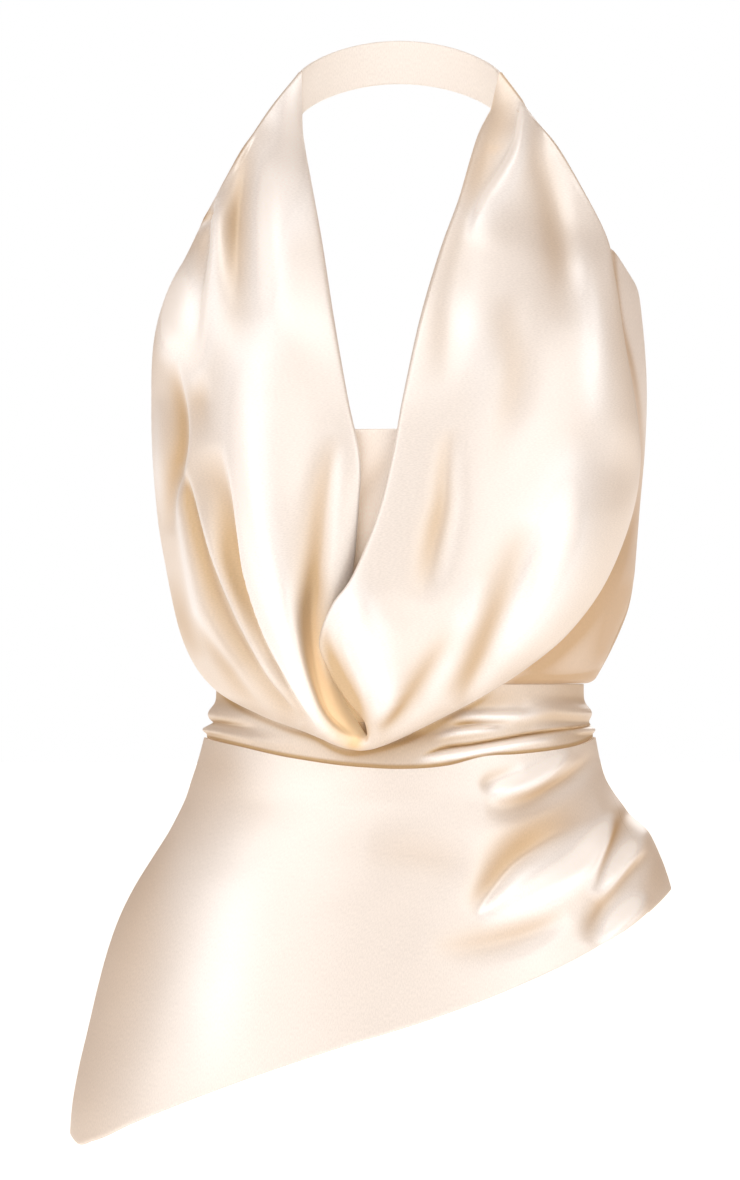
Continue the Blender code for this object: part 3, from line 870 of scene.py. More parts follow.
@dataclass
class BodicePanel(OvalPanel):
    """Front or back of the bodice, from its shaped upper edge to the waist seam.

    Attributes:
        left_inset, inset_z: how far the left side is taken in, and over which heights.
        fold_start, fold_end: how its folds rise below the upper edge and die at the waist.
        depth_shade: how much less shade there is on a ridge.
        behind, behind_x, behind_z: shade beside the drape at the right.
        lifted, lifted_z: how much of that is lost low down.
        overhang, overhang_z: shade just above the waist.
    """

    columns: int = 180
    rows: int = 100
    top_turn: Turn = Turn(0.75, 9.0)
    front_folds: FoldSet = BODICE_FOLDS
    back_folds: FoldSet = BODICE_BACK_FOLDS
    lit: FoldSet = NECK_FLOOR_GLOW
    resting: float = 0.14
    left_inset: float = 7.0
    inset_z: Ramp = (19.0, 12.0)
    fold_start: Ramp = (0.0, 0.08)
    fold_end: Ramp = (1.0, -0.05)
    depth_shade: float = 0.12
    behind: float = 0.85
    behind_x: Ramp = (50.0, 40.0)
    behind_z: Ramp = (180.0, -120.0)
    lifted: float = 0.2
    lifted_z: Ramp = (60.0, -30.0)
    overhang: float = 0.25
    overhang_z: Ramp = (30.0, -12.0)

    def _oval(self, s: Array, t: Array) -> tuple[Array, Array, list[Array]]:
        """Places spread over the rows of the table, which lie closer where the figure bends more."""
        heights = BODICE.data[:, 0][::-1]
        places = np.arange(len(heights), dtype=float)
        degrees = self.first_deg[0] + (self.last_deg[0] - self.first_deg[0]) * s
        top = BODICE_EDGE.read("height", np.where(degrees > 180, 360 - degrees, degrees))
        start = np.interp(-top, -heights, places)
        place = start + (places[-1] - start) * t
        z, right, front, back = (through(places, column, place) for column in BODICE.data[::-1].T)
        left = right - self.left_inset * ramp(z, *self.inset_z)
        return np.radians(degrees), z, [left, right, front, back]

    def _depth(self, spot: Spot, t: Array) -> Array:
        """Height of the soft folds, none at the panel's edges."""
        x, z = spot.x, spot.z
        ahead = np.cos(spot.angle) > 0
        folds = np.where(ahead, self.front_folds.depth(x, z), self.back_folds.depth(x, z))
        return folds * ramp(t, *self.fold_start) * ramp(t, *self.fold_end)

    def _shade(self, s: Array, t: Array) -> Array:
        """Shade in the folds, above the waist, and in front where the drape hangs over it."""
        spot = self._spot(s, t)
        low = self.behind * ramp(spot.z, *self.behind_z) - self.lifted * ramp(spot.z, *self.lifted_z)
        hung = ramp(spot.x, *self.behind_x) * low + DRAPE_SHADOW.depth(spot.x, spot.z)
        shade = self.resting - self.depth_shade * self._depth(spot, t)
        shade = shade + front_share(spot.angle) * hung
        return shade + self.overhang * ramp(spot.z, *self.overhang_z)


# Waistband and skirt


WAIST_SEAM = Columns(
    "degrees height",
    (
        (-180, -17), (-120, -17), (-85, -16.5), (-55, -21.5), (-33, -28.8),
        (-12, -34.5), (0, -35.8), (14, -33.5), (25, -27.8), (36, -26.4), (58, -22.5),
        (85, -16.5), (120, -17), (180, -17),
    ),
)
WAISTBAND = Columns(
    "height wide front back",
    (
        (18.1, 119.2, 86.8, 86.4),
        (5.0, 119.6, 87.2, 86.6),
        (-10.0, 123.0, 88.5, 87.5),
        (-17.0, 125.5, 90.0, 88.5),
        (-36.0, 127.5, 92.5, 90.0),
    ),
)
WAIST_FRONT_FOLDS = FoldSet(
    Fold((-130, 0, 4, 4), (-120, -1, 5, 4), (-104, -3, 5, 2), (-84, -5, 5, 0)),
    Fold((-132, -11, 2, 5.5), (-122, -11.5, 2.4, 4.5), (-104, -15, 3, 2), (-70, -22, 4, 0)),
    Fold((-128, -6.5, 1.6, -2), (-112, -8, 2, -1.6), (-90, -12, 3, 0)),
    Fold((130, -1, 4, 4), (116, 0, 5, 4), (96, 2, 5, 2), (78, 4, 5, 0)),
    Fold((132, -11, 2, 5.5), (122, -11, 2.4, 4), (104, -10.5, 3, 1.5), (84, -11, 3, 0)),
    Fold((28, -6, 3, 0), (44, -3, 3.6, 2.8), (62, -3, 4, 3.2), (82, -2, 4, 2), (100, 1, 4, 0)),
    Fold((22, -17, 2, 0), (34, -13.5, 2.6, 2.6), (48, -11.5, 2.8, 2.6), (64, -10.5, 2.5, 0)),
    Fold((34, -9, 2, 0), (47, -7.6, 2.6, -2.6), (60, -7, 2.6, -2), (74, -6.5, 2.6, 0)),
    Fold(
        (130, -8.6, 1.4, -2.2), (100, -12, 1.5, -3), (81, -14.7, 1.6, -3.2), (66, -17.4, 1.7, -3.2),
        (46, -20.8, 1.7, -3.2), (28, -23, 1.6, -2.6), (14, -28, 1.4, 0), lean=0.55,
    ),
    Fold((8, -33, 2.5, 0), (30, -28.5, 3, 2.4), (52, -24, 3, 3), (78, -19.5, 3, 2.2), (104, -16, 3, 0)),
    Fold((-60, -4, 5, 0), (-20, -14, 6, -1.4), (10, -14, 5, -1.8), (30, -10, 4, 0)),
)
# Painted highlights along the waistband's rolls, taken off its painted shade.
WAIST_PAINTED_HIGHLIGHT = FoldSet(
    Fold(
        (12, -31, 2.4, 0), (32, -27.8, 2.8, 0.85), (52, -24.8, 3, 1.0), (80, -20, 3, 0.5),
        (106, -16.4, 3, 0),
    ),
    Fold((34, -3, 3, 0), (50, -2.6, 4, 0.5), (72, -2, 4.4, 0.5), (90, 0, 4, 0)),
    Fold((24, -15, 2, 0), (38, -12.8, 2.6, 0.5), (56, -11, 2.6, 0.45), (70, -10, 2.4, 0)),
    Fold((86, 3, 6, 0), (100, 1, 8, -0.22), (120, 3, 6, -0.1)),
    Fold((-118, -2, 6, 0), (-92, -7, 7, 0.2), (-62, -17, 7, 0.14), (-34, -30, 5, 0)),
)
DRAPE_SHADOW = FoldSet(
    Fold(
        (-132, 22, 5, 0), (-118, 12, 5, 0.1), (-96, -1, 6, 0.06), (-72, -11, 6, 0.1),
        (-48, -19, 6, 0.25), (-26, -25, 6, 0.3), (0, -21, 7, 0.22), (24, -11, 7, 0.3), (50, 2, 7, 0.3),
        (76, 16, 6, 0),
    ),
    Fold(
        (-119, 15, 1.8, 0), (-107, 4.6, 1.8, 0.4), (-93, -2.6, 1.8, 0.4), (-73.5, -11, 1.8, 0.4),
        (-53, -17.8, 1.8, 0.4), (-42, -24.2, 1.8, 0.4), (-32, -26.8, 1.8, 0.4), (-21, -25.2, 1.8, 0.4),
        (0, -20, 1.8, 0.45), (24, -7.6, 1.8, 0.4), (51, 6.8, 1.8, 0.35), (62, 14, 1.8, 0),
    ),
    Fold(
        (138, 303, 1.6, 0.6), (140.5, 272, 1.8, 0.6), (143.5, 251, 2, 0.6), (149, 229, 2.4, 0.6),
        (154, 200, 2.6, 0.5), (154, 136, 4, 0.4), (143, 101, 5, 0.4), (122, 66, 6, 0.45),
        (95, 38, 7, 0.4), (70, 22, 6, 0),
    ),
    Fold(
        (66, 20, 2.4, 0), (88, 21.5, 1.8, 0.5), (106, 22.4, 1.5, 0.6), (118, 23.6, 1.5, 0.6),
        (132, 26.4, 1.6, 0.6),
    ),
    Fold(
        (124, -8.8, 1.2, 0.5), (100, -12.2, 1.2, 0.5), (81, -15, 1.3, 0.6), (66, -17.7, 1.3, 0.6),
        (46, -21, 1.4, 0.6), (28, -23.4, 1.4, 0.5), (14, -28, 1.3, 0),
    ),
)
WAIST_BACK_FOLDS = FoldSet(
    Fold((-132, 0, 4, 4), (-100, 2, 5, 3.4), (-60, 3, 5, 3), (-10, 0, 5, 2.4), (20, -2, 5, 0)),
    Fold((-132, -11, 2, 5.5), (-116, -11, 3, 3.4), (-70, -8, 3.5, 2.4), (-30, -9, 4, 0)),
    Fold((132, -1, 4, 4), (96, -3, 4.6, 3.2), (40, -6, 4.6, 2.6), (-30, -9, 4, 0)),
    Fold((132, -11, 2, 5.5), (114, -11.5, 3, 3), (80, -12.5, 3, 2), (50, -13, 3, 0)),
    Fold((128, -6, 1.6, -2.4), (90, -8.5, 2, -2.2), (40, -11, 2, -1.8), (0, -12.5, 2, 0), lean=0.4),
    Fold((-120, -5, 1.8, -2), (-70, -3.5, 2, -2), (-20, -5, 2, 0), lean=-0.4),
)
SKIRT = Columns(
    "height left right front back",
    (
        (-15, 126.6, 126.6, 91.2, 88.6),
        (-30, 130.6, 129.6, 94, 92),
        (-45, 135.4, 134.2, 97.5, 97),
        (-57, 139.4, 142, 100, 102),
        (-66, 143.6, 149.6, 102.5, 106),
        (-76, 149, 159.4, 105, 109),
        (-95, 161.4, 169.6, 108, 114),
        (-111, 171.4, 175.2, 111, 117),
        (-133, 182.4, 180, 114, 120),
        (-153, 189.6, 184, 117, 122),
        (-177, 196.2, 188, 119.5, 124),
        (-204, 202.4, 192, 122, 126),
        (-235, 209.4, 196, 125, 128),
        (-256, 213, 199, 127, 130),
        (-284, 215, 202, 129, 132),
    ),
)
FRONT_HEM = Columns(
    "across height",
    (
        (-216.0, -272.0), (-210.0, -279.0), (-200.0, -277.0), (-174.0, -265.0), (-112.0, -240.0),
        (-40.0, -215.0), (15.0, -198.0), (71.5, -177.0), (128.0, -150.0), (156.0, -132.0),
        (173.0, -118.0), (182.0, -108.0),
    ),
)
BACK_HEM = Columns(
    "across height",
    (
        (-216, -275.8), (-200, -266), (-140, -243), (-60, -214), (20, -187),
        (90, -161), (140, -139), (160, -129.5), (182, -109.3),
    ),
)
SKIRT_FRONT_FOLDS = FoldSet(
    Fold((50, -47, 4, 0), (58, -45, 5.5, -2.2), (68, -41.5, 5.5, -2), (80, -37, 5, 0)),
    Fold((58, -55, 5, 0), (68, -51, 6, 3), (84, -45, 6, 3.6), (100, -34, 5, 3), (111, -24, 4, 0)),
    Fold(
        (54, -63, 7, 0), (72, -61, 8, -2.6), (86, -57, 7, -4), (100, -50, 6, -4.2),
        (114, -41, 5.5, -3.4), (127, -26, 5, 0),
    ),
    Fold(
        (46, -131, 6, 0), (58, -115, 8, -4.5), (74, -96, 11, -6), (92, -83, 13, -6), (112, -73, 12, -4),
        (130, -64, 10, 0), lean=0.3,
    ),
    Fold(
        (50, -134, 8, 0), (72, -126, 10, 3), (98, -114, 12, 5), (120, -99, 10, 6), (131, -83, 7.5, 5),
        (139, -66, 5, 0),
    ),
    Fold(
        (153, -62, 6, 0), (144, -75, 7.5, -3.6), (137, -88, 6.5, -4.4), (131, -102, 5.5, -3.4),
        (127, -116, 5, 0),
    ),
    Fold(
        (129, -124, 5, 0), (136.5, -110, 6.5, 2.8), (145, -97, 6.5, 3), (154, -85, 6, 2.2),
        (161, -74, 4, 0),
    ),
    Fold(
        (120, -149, 7, 0), (129, -132, 7.5, -3.4), (139, -118, 6.5, -4), (151, -104, 6, -3.2),
        (162, -91, 4, 0),
    ),
    Fold((130, -152, 5, 0), (141, -139, 6, 3.2), (152, -128, 6, 3.2), (161, -117, 4, 0)),
    Fold(
        (18, -153, 8, 0), (44, -152, 10, -2.6), (66, -148, 10, -3.6), (88, -141, 8, -3.2),
        (108, -131, 6, 0),
    ),
    Fold((-22, -88, 14, 0), (6, -93, 14, -1.4), (28, -98, 14, -1.4), (50, -104, 12, 0)),
    Fold((-150, -70, 16, 0), (-160, -130, 18, -2.0), (-176, -190, 18, -2.0), (-190, -250, 14, 0)),
    Fold((-100, -60, 20, 0), (-108, -130, 24, 1.6), (-118, -200, 24, 1.6), (-124, -250, 20, 0)),
)
# Painted shade and painted highlights on the skirt's front.
SKIRT_SHADE_AND_HIGHLIGHT = FoldSet(
    Fold(
        (122, -46, 12, 0), (106, -60, 16, 0.12), (90, -78, 19, 0.16), (74, -96, 17, 0.14),
        (60, -114, 12, 0.1), (50, -128, 9, 0),
    ),
    Fold((156, -82, 4, 0), (144, -97, 6, -0.42), (137, -111, 6, -0.36), (130, -124, 5, 0)),
    Fold((137, -62, 4, 0), (130, -86, 5.5, -0.4), (124, -108, 5, -0.34), (122, -120, 4, 0)),
    Fold(
        (150, -66, 4, 0), (142, -77, 5, 0.16), (136, -91, 5, 0.2), (130, -108, 4.4, 0.16),
        (127, -118, 4, 0),
    ),
    Fold((150, -108, 5, 0), (139, -122, 6, 0.14), (128, -138, 6.5, 0.16), (118, -152, 5, 0)),
    Fold((160, -112, 4, 0), (150, -124, 6, -0.2), (138, -136, 6, -0.2), (128, -148, 4, 0)),
    Fold(
        (56, -50, 5, 0), (70, -46, 5.5, -0.26), (86, -41.6, 6, -0.34), (100, -33, 5, -0.16),
        (110, -26, 4, 0),
    ),
    Fold(
        (-134, -46, 14, 0), (-145, -96, 18, -0.14), (-168, -150, 18, -0.14), (-184, -200, 18, -0.14),
        (-198, -254, 14, 0),
    ),
    Fold((158, -80, 8, 0), (167, -104, 9, 0.16), (163, -120, 8, 0.12), (154, -132, 6, 0)),
    Fold((-128, -22, 10, 0), (-114, -36, 14, 0.12), (-100, -56, 16, 0.08), (-88, -78, 14, 0)),
    Fold(
        (50, -138, 6, 0), (72, -126, 8, -0.18), (98, -114, 9, -0.2), (116, -98, 8, -0.2),
        (124, -84, 6, 0),
    ),
)
SKIRT_BACK_FOLDS = FoldSet(
    Fold.arc((124, -24), (96, -64), (66, -120), 12, 4.5),
    Fold.arc((104, -28), (76, -66), (44, -118), 8, -3.6),
    Fold.arc((60, -30), (30, -84), (-12, -156), 14, -4.4),
    Fold.arc((28, -28), (0, -76), (-40, -150), 10, 3),
    Fold.arc((-60, -28), (-92, -100), (-132, -214), 15, 5),
    Fold.arc((-20, -40), (-52, -120), (-92, -222), 11, -4.2),
    Fold.arc((-110, -40), (-146, -130), (-176, -246), 12, -4),
    Fold.arc((140, -70), (124, -96), (96, -132), 9, -3.6),
    Fold.arc((156, -86), (140, -110), (112, -144), 8, 3.4),
)


def waist_seam(degrees: Array) -> Array:
    """Height of the seam between the waistband and the skirt."""
    return WAIST_SEAM.read("height", np.where(degrees > 180, degrees - 360, degrees))


@dataclass
class TubePanel(OvalPanel):
    """A panel between the waist and a line further down, with shade on its sides.

    Attributes:
        table: half widths and depths of the figure.
        names: columns of the table for the left, right, front and back.
        seam_rate: how soon down the panel the side seams reach their lower angles.
        side_ramp: sines of the angles over which the sides fall into shade.
    """

    table: Columns = WAISTBAND
    names: tuple[str, ...] = ("wide", "wide", "front", "back")
    seam_rate: float = 1.4
    side_ramp: Ramp = (0.72, 0.28)

    def _sizes(self, z: Array) -> list[Array]:
        """Half widths to the left and right, and depths to the front and back, at a height."""
        return [self.table.read(name, z) for name in self.names]

    def _heights(self, degrees: Array, s: Array, t: Array) -> Array:
        """Heights of places on the panel."""
        raise NotImplementedError

    def _shade_and_highlight(self, x: Array, z: Array) -> Array:
        """Painted shade and painted highlights on the front that its folds alone don't give."""
        raise NotImplementedError

    def _oval(self, s: Array, t: Array) -> tuple[Array, Array, list[Array]]:
        """Places between the side seams, which lean from the waist down."""
        lean = ease(t * self.seam_rate)
        first, last = (a + (b - a) * lean for a, b in (self.first_deg, self.last_deg))
        degrees = first + (last - first) * s
        z = self._heights(degrees, s, t)
        return np.radians(degrees), z, self._sizes(z)

    def _shade(self, s: Array, t: Array) -> Array:
        """Shade in the folds and on the sides."""
        spot = self._spot(s, t)
        x, z, front = spot.x, spot.z, front_share(spot.angle)
        aside = SIDE_SHADE * ramp(np.abs(np.sin(spot.angle)), *self.side_ramp)
        ahead = self.front_folds.shade(x, z) + self._shade_and_highlight(x, z)
        return self.resting + aside + front * ahead + (1 - front) * self.back_folds.shade(x, z)


@dataclass
class WaistbandPanel(TubePanel):
    """Half of the waistband, with its level folds.

    Attributes:
        seam_lap: how far the band stops short of the skirt's seam.
        seam_shade, seam_ramp: shade in that seam.
    """

    bottom_turn: Turn = Turn(0.7, 3.0)
    front_folds: FoldSet = WAIST_FRONT_FOLDS
    back_folds: FoldSet = WAIST_BACK_FOLDS
    lit: FoldSet = MOUTH_FLOOR_GLOW
    seam_lap: float = 0.4
    seam_shade: float = 0.6
    seam_ramp: Ramp = (0.95, 0.04)

    def _heights(self, degrees: Array, s: Array, t: Array) -> Array:
        """Heights from the bodice seam down to the skirt seam."""
        return WAIST_TOP_Z + (waist_seam(degrees) + self.seam_lap - WAIST_TOP_Z) * t

    def _shade_and_highlight(self, x: Array, z: Array) -> Array:
        """Painted shadow under the drape, and painted highlights along the band's rolls."""
        return DRAPE_SHADOW.depth(x, z) - WAIST_PAINTED_HIGHLIGHT.depth(x, z)

    def _shade(self, s: Array, t: Array) -> Array:
        """Shade in the folds, on the sides and in the seam to the skirt."""
        return super()._shade(s, t) + self.seam_shade * ramp(t, *self.seam_ramp)


@dataclass
class SkirtPanel(TubePanel):
    """Front or back of the flared skirt with its slanted hem.

    Attributes:
        hem: heights of the hem across the figure.
        hem_places: places round the hem where its height is found.
        first_guess, passes: height at which the search for the hem starts, and its steps.
    """

    bottom_turn: Turn = Turn(0.75, 11.0)
    front_folds: FoldSet = SKIRT_FRONT_FOLDS
    back_folds: FoldSet = SKIRT_BACK_FOLDS
    table: Columns = SKIRT
    names: tuple[str, ...] = ("left", "right", "front", "back")
    hem: Columns = FRONT_HEM
    hem_places: int = 120
    first_guess: float = -190.0
    passes: int = 40

    def sheet(self) -> Sheet:
        """Points of the panel, once the heights of its hem are found."""
        self.hem_knots = np.linspace(0.0, 1.0, self.hem_places)
        degrees = self.first_deg[1] + (self.last_deg[1] - self.first_deg[1]) * self.hem_knots
        self.hem_heights = self._hem_height(np.radians(degrees))
        return super().sheet()

    def _hem_height(self, angle: Array) -> Array:
        """Height of the hem at each angle, found by walking down to the hem's own line."""
        z = np.full(angle.shape, self.first_guess)
        for _ in range(self.passes):
            x, _ = on_oval(angle, *self._sizes(z))
            z = 0.5 * z + 0.5 * self.hem.read("height", x)
        return z

    def _heights(self, degrees: Array, s: Array, t: Array) -> Array:
        """Heights from the waist seam down to the slanted hem."""
        top = waist_seam(degrees) - PANEL_GAP
        bottom = through(self.hem_knots, self.hem_heights, np.clip(s, 0.0, 1.0))
        return top + (bottom - top) * t

    def _shade_and_highlight(self, x: Array, z: Array) -> Array:
        """Broad painted shade and painted highlights on the hip's gathers."""
        return SKIRT_SHADE_AND_HIGHLIGHT.depth(x, z)


# Cowl and neck band


COWL_ROWS = (
    (-64, 4.4, 390, -64.3, 4.4, 415, 0, 0.6, 1.6, 1.6, 175, 5),
    (-63.6, -13, 373, -86, -12, 388, 0.3, 2, 1.8, 1.6, 175, 5),
    (-60, -41, 347, -111, -31, 349, 0.5, 3, 2, 1.6, 175, 6),
    (-53, -69, 307, -134, -37, 305, 0.8, 3, 2, 1.6, 175, 6),
    (-45, -98, 255, -157.5, -12, 252, 1, 2, 2, 1.6, 178, 6),
    (-36, -117, 203, -161.5, 5, 196, 1, 2, 2, 1.6, 180, 6),
    (-28, -125, 164, -158.5, 5, 138, 1, 5, 2, 1.6, 180, 6),
    (-28.6, -125, 131, -153, 4, 99, 1, 9, 2, 1.6, 180, 6),
    (-32, -121, 89, -141, -4, 47, 1, 13, 2, 1.6, 175, 6),
    (-38, -114, 53, -122, -36, 17, 1, 17, 2, 2.6, 120, 7),
    (-41.6, -108, 32.5, -92, -72, -0.6, 1, 18, 2, 4.5, 90, 10),
    (-37.7, -102, 11, -62, -86, -12, 1, 16, 1.8, 5, 95, 11),
    (-28.6, -99, -5, -39, -94, -21, 1, 10, 1.8, 5.5, 110, 11),
    (-21.5, -106, -15.5, -24, -98, -24, 1, 2, 1.6, 5.5, 115, 11),
    (-22.6, -117, -5.5, -6, -98, -19, 1, 3, 1.7, 5.5, 100, 11),
    (-32, -126, 7, 23, -98, -5, 1, 5, 1.8, 5, 90, 11),
    (-44.4, -132, 27.4, 54.6, -92, 11.7, 1, 6, 1.9, 5, 90, 11),
    (-50.2, -136, 46.8, 83, -85, 30, 1, 7, 2, 5, 90, 11),
    (-42.6, -138, 69, 109, -78, 52, 1, 7, 2, 5, 90, 11),
    (-29, -139, 88, 132, -63, 83, 1, 6, 2, 4.5, 90, 11),
    (-13, -136, 126, 148.5, -42, 122, 1, 4, 2.2, 3.5, 90, 11),
    (-3.4, -129, 164, 155.5, -29, 157, 1, 3, 2, 2.8, 90, 10),
    (4, -119, 204, 154, -42, 190, 1, 2, 2, 2.6, 90, 10),
    (15.2, -99, 255, 145.6, -54, 238, 1, 2, 2, 2.4, 90, 9),
    (28.4, -73, 300, 138.6, -52, 283, 0.9, 3, 2, 2.2, 100, 8),
    (41.4, -50, 336, 131.4, -40, 313, 0.7, 3, 2, 1.8, 150, 6),
    (51.8, -24, 372, 104, -29, 362, 0.5, 3, 2, 1.6, 175, 6),
    (57.8, -8, 387, 84.5, -13, 389, 0.3, 2, 1.8, 1.6, 175, 5),
    (59.6, 4.4, 393, 64.6, 4.4, 415.2, 0, 0.6, 1.6, 1.6, 175, 5),
)
COWL = Columns(
    "section in_x in_y in_z out_x out_y out_z round crown roll turn sweep under",
    tuple((float(i), *row) for i, row in enumerate(COWL_ROWS)),
)
LEFT_LOBE_FOLDS = FoldSet(
    Fold(
        (-97, 376, 5, 0), (-100, 352, 8, -3), (-104, 322, 10, -4.8), (-104, 294, 11, -3.8),
        (-102, 260, 11, -1.4), (-98, 222, 12, 0), lean=0.25,
    ),
    Fold(
        (-116, 340, 3, 0), (-119, 320, 4, 4), (-120.5, 298, 5, 4), (-123, 262, 8, 2.4),
        (-127, 225, 10, 0), lean=0.7,
    ),
    Fold((-117, 326, 2.4, 0), (-122, 322.5, 2.6, -2), (-127, 319, 2.6, -2.6), (-133, 315, 2.6, -2.6)),
    Fold((-121, 318, 3, 0), (-124.5, 306, 4, -1.6), (-127, 290, 5, -1.2), (-128, 270, 6, 0)),
    Fold((-88, 356, 9, 0), (-85, 318, 12, 1.6), (-82, 268, 14, 1.8), (-78, 205, 14, 0)),
    Fold((-130, 300, 7, 0), (-137, 280, 10, 4), (-144, 250, 10, 4.5), (-148, 222, 8, 0)),
    Fold(
        (-145, 226, 3, 0), (-143, 210, 3.6, -2.8), (-141, 193, 4, -4.4), (-140.5, 177, 4, -4.6),
        (-143, 158, 3.8, -4), (-146.5, 136, 3.6, -2), (-147, 112, 4, 0), lean=-0.3,
    ),
    Fold((-127, 222, 5, 0), (-128, 202, 7, -2.4), (-126, 176, 7, 0)),
    Fold((-155, 205, 4, 0), (-154, 168, 5.5, 2.5), (-151, 122, 6, 0)),
    Fold(
        (-143, 160, 3, 0), (-141.5, 140, 3.5, 3), (-137.5, 117, 4.5, 4), (-132.5, 92, 5.5, 4),
        (-123.5, 57, 6, 3.4), (-106, 28, 6, 0),
    ),
    Fold(
        (-141, 158, 3, 0), (-138, 145, 3.6, -4), (-133, 124, 4.4, -5.5), (-125.6, 100, 5, -6),
        (-116, 74, 5.4, -6.4), (-104, 47, 5.4, -6), (-90, 23, 5, -5), (-75, 4, 4.6, -3),
        (-64, -9, 4, 0), lean=-0.4,
    ),
    Fold(
        (-128, 134, 4.5, 0), (-119, 96, 5.5, 3), (-107, 63, 6, 4), (-92, 37, 6, 3.8),
        (-76, 15, 5.4, 2.6), (-62, -3, 4, 0),
    ),
    Fold(
        (-117, 172, 8, 0), (-115, 155, 8, -3.4), (-111.5, 137, 6.5, -6), (-109, 117, 6, -7.5),
        (-106, 93, 6, -8.5), (-99.5, 69, 6, -8.5), (-90, 45, 6, -8), (-77, 23, 5.5, -6.4),
        (-65, 4, 5, -4), (-52, -13, 4, 0), lean=-0.62,
    ),
    Fold(
        (-97, 262, 14, 0), (-96, 205, 16, 3), (-92, 137, 14, 4.6), (-80, 82, 12, 5.6),
        (-68, 48, 9.5, 6.4), (-60.5, 21, 7.5, 6.6), (-53, 1.5, 6, 5.6), (-41.5, -13, 5, 4),
        (-29, -22, 4, 0),
    ),
    Fold(
        (-41, 178, 6, 0), (-46, 155, 7.5, -3), (-49.5, 129, 8.5, -5), (-51.5, 105, 9, -6.4),
        (-54.5, 81, 9, -7.2), (-57.5, 57, 8.5, -7.2), (-55.5, 36, 8, -7.2), (-49.5, 14, 7, -7),
        (-41, -3, 6, -6), (-30, -16, 5, 0), lean=-0.1,
    ),
    Fold((-130, 64, 4, 0), (-117, 37, 4.5, -3), (-99, 11, 4.5, -2.6), (-80, -6, 4, 0)),
)
# Painted shade and painted glow inside the cowl's mouth, on the left lobe and on the right one.
LEFT_MOUTH = FoldSet(
    Fold(
        (-52, 100, 7, 0), (-54, 74, 8, 0.08), (-54, 42, 9, 0.6), (-49, 18, 9, 0.9), (-40, -2, 8, 1.0),
        (-28, -18, 6, 0.9),
    ),
    Fold((-42, 26, 4, 0), (-36, 14, 5, 0.4), (-29, 0, 5, 0.6), (-23, -12, 4, 0.5)),
)
RIGHT_MOUTH = FoldSet(
    Fold(
        (-51, 58, 5, 0), (-47, 42, 6.5, 0.4), (-39, 22, 7.5, 0.7), (-28, 4, 7, 0.6), (-22, -12, 5, 0.3),
    ),
)
# Painted shade in the halter's fold, which also sets the glow painted there.
HALTER_SHADE = FoldSet(
    Fold(
        (68, 414, 8, 0.16), (68, 398, 9, 0.16), (65, 380, 9, 0.16), (59, 366, 8, 0.14),
        (51, 344, 9, 0.1), (45, 322, 9, 0),
    ),
    Fold((54, 369, 2.4, 0), (62, 366, 2.6, 0.08), (71, 369, 2.4, 0)),
)
# Painted shade and painted highlights on the left lobe.
LEFT_SHADE_AND_HIGHLIGHT = FoldSet(
    Fold(
        (-66, 414, 9, -0.3), (-68, 396, 11, -0.4), (-70, 372, 13, -0.36), (-68, 340, 13, -0.26),
        (-62, 300, 11, 0),
    ),
    Fold(
        (-134, 286, 9, 0), (-138, 262, 13, -0.54), (-137, 236, 13, -0.54), (-134, 216, 10, -0.3),
        (-131, 204, 8, 0),
    ),
    Fold(
        (-90, 376, 8, 0), (-86, 346, 11, -0.26), (-85, 304, 12, -0.28), (-88, 268, 10, -0.14),
        (-88, 244, 8, 0),
    ),
    Fold((-160, 234, 5, 0), (-162, 204, 7, -0.16), (-161, 164, 7, -0.16), (-155, 120, 6, 0)),
    Fold(
        (-104, 350, 5, 0), (-106, 328, 7, 0.08), (-107, 302, 8, 0.12), (-107, 282, 7, 0.08),
        (-106, 266, 6, 0),
    ),
    Fold(
        (-40, 118, 6, 0), (-47, 96, 7, 0.14), (-50, 74, 7.5, 0.52), (-50, 54, 7, 0.36), (-47, 40, 6, 0),
    ),
    Fold(
        (-150, 92, 6, 0), (-146, 74, 8, 0.3), (-141, 57, 8, 0.42), (-133, 42, 7, 0.24),
        (-126, 34, 5, 0),
    ),
    Fold((-105, 92, 5, 0), (-101, 66, 6, -0.12), (-91, 42, 6, -0.1), (-78, 20, 5, 0)),
)
# Painted shade and painted highlights on the right lobe.
RIGHT_SHADE_AND_HIGHLIGHT = FoldSet(
    Fold(
        (28, 300, 10, 0), (31, 272, 11, -0.09), (50, 238, 14, -0.12), (56, 204, 13, -0.08),
        (60, 170, 10, 0),
    ),
    Fold((124, 256, 8, 0), (130, 210, 11, -0.12), (130, 164, 11, -0.06), (126, 130, 10, 0)),
    Fold((26, 150, 7, 0), (24, 126, 8, 0.12), (20, 100, 8, 0.08), (16, 80, 8, 0)),
    Fold((110, 116, 10, 0), (94, 88, 13, 0.1), (80, 60, 11, 0.04), (70, 44, 9, 0)),
)
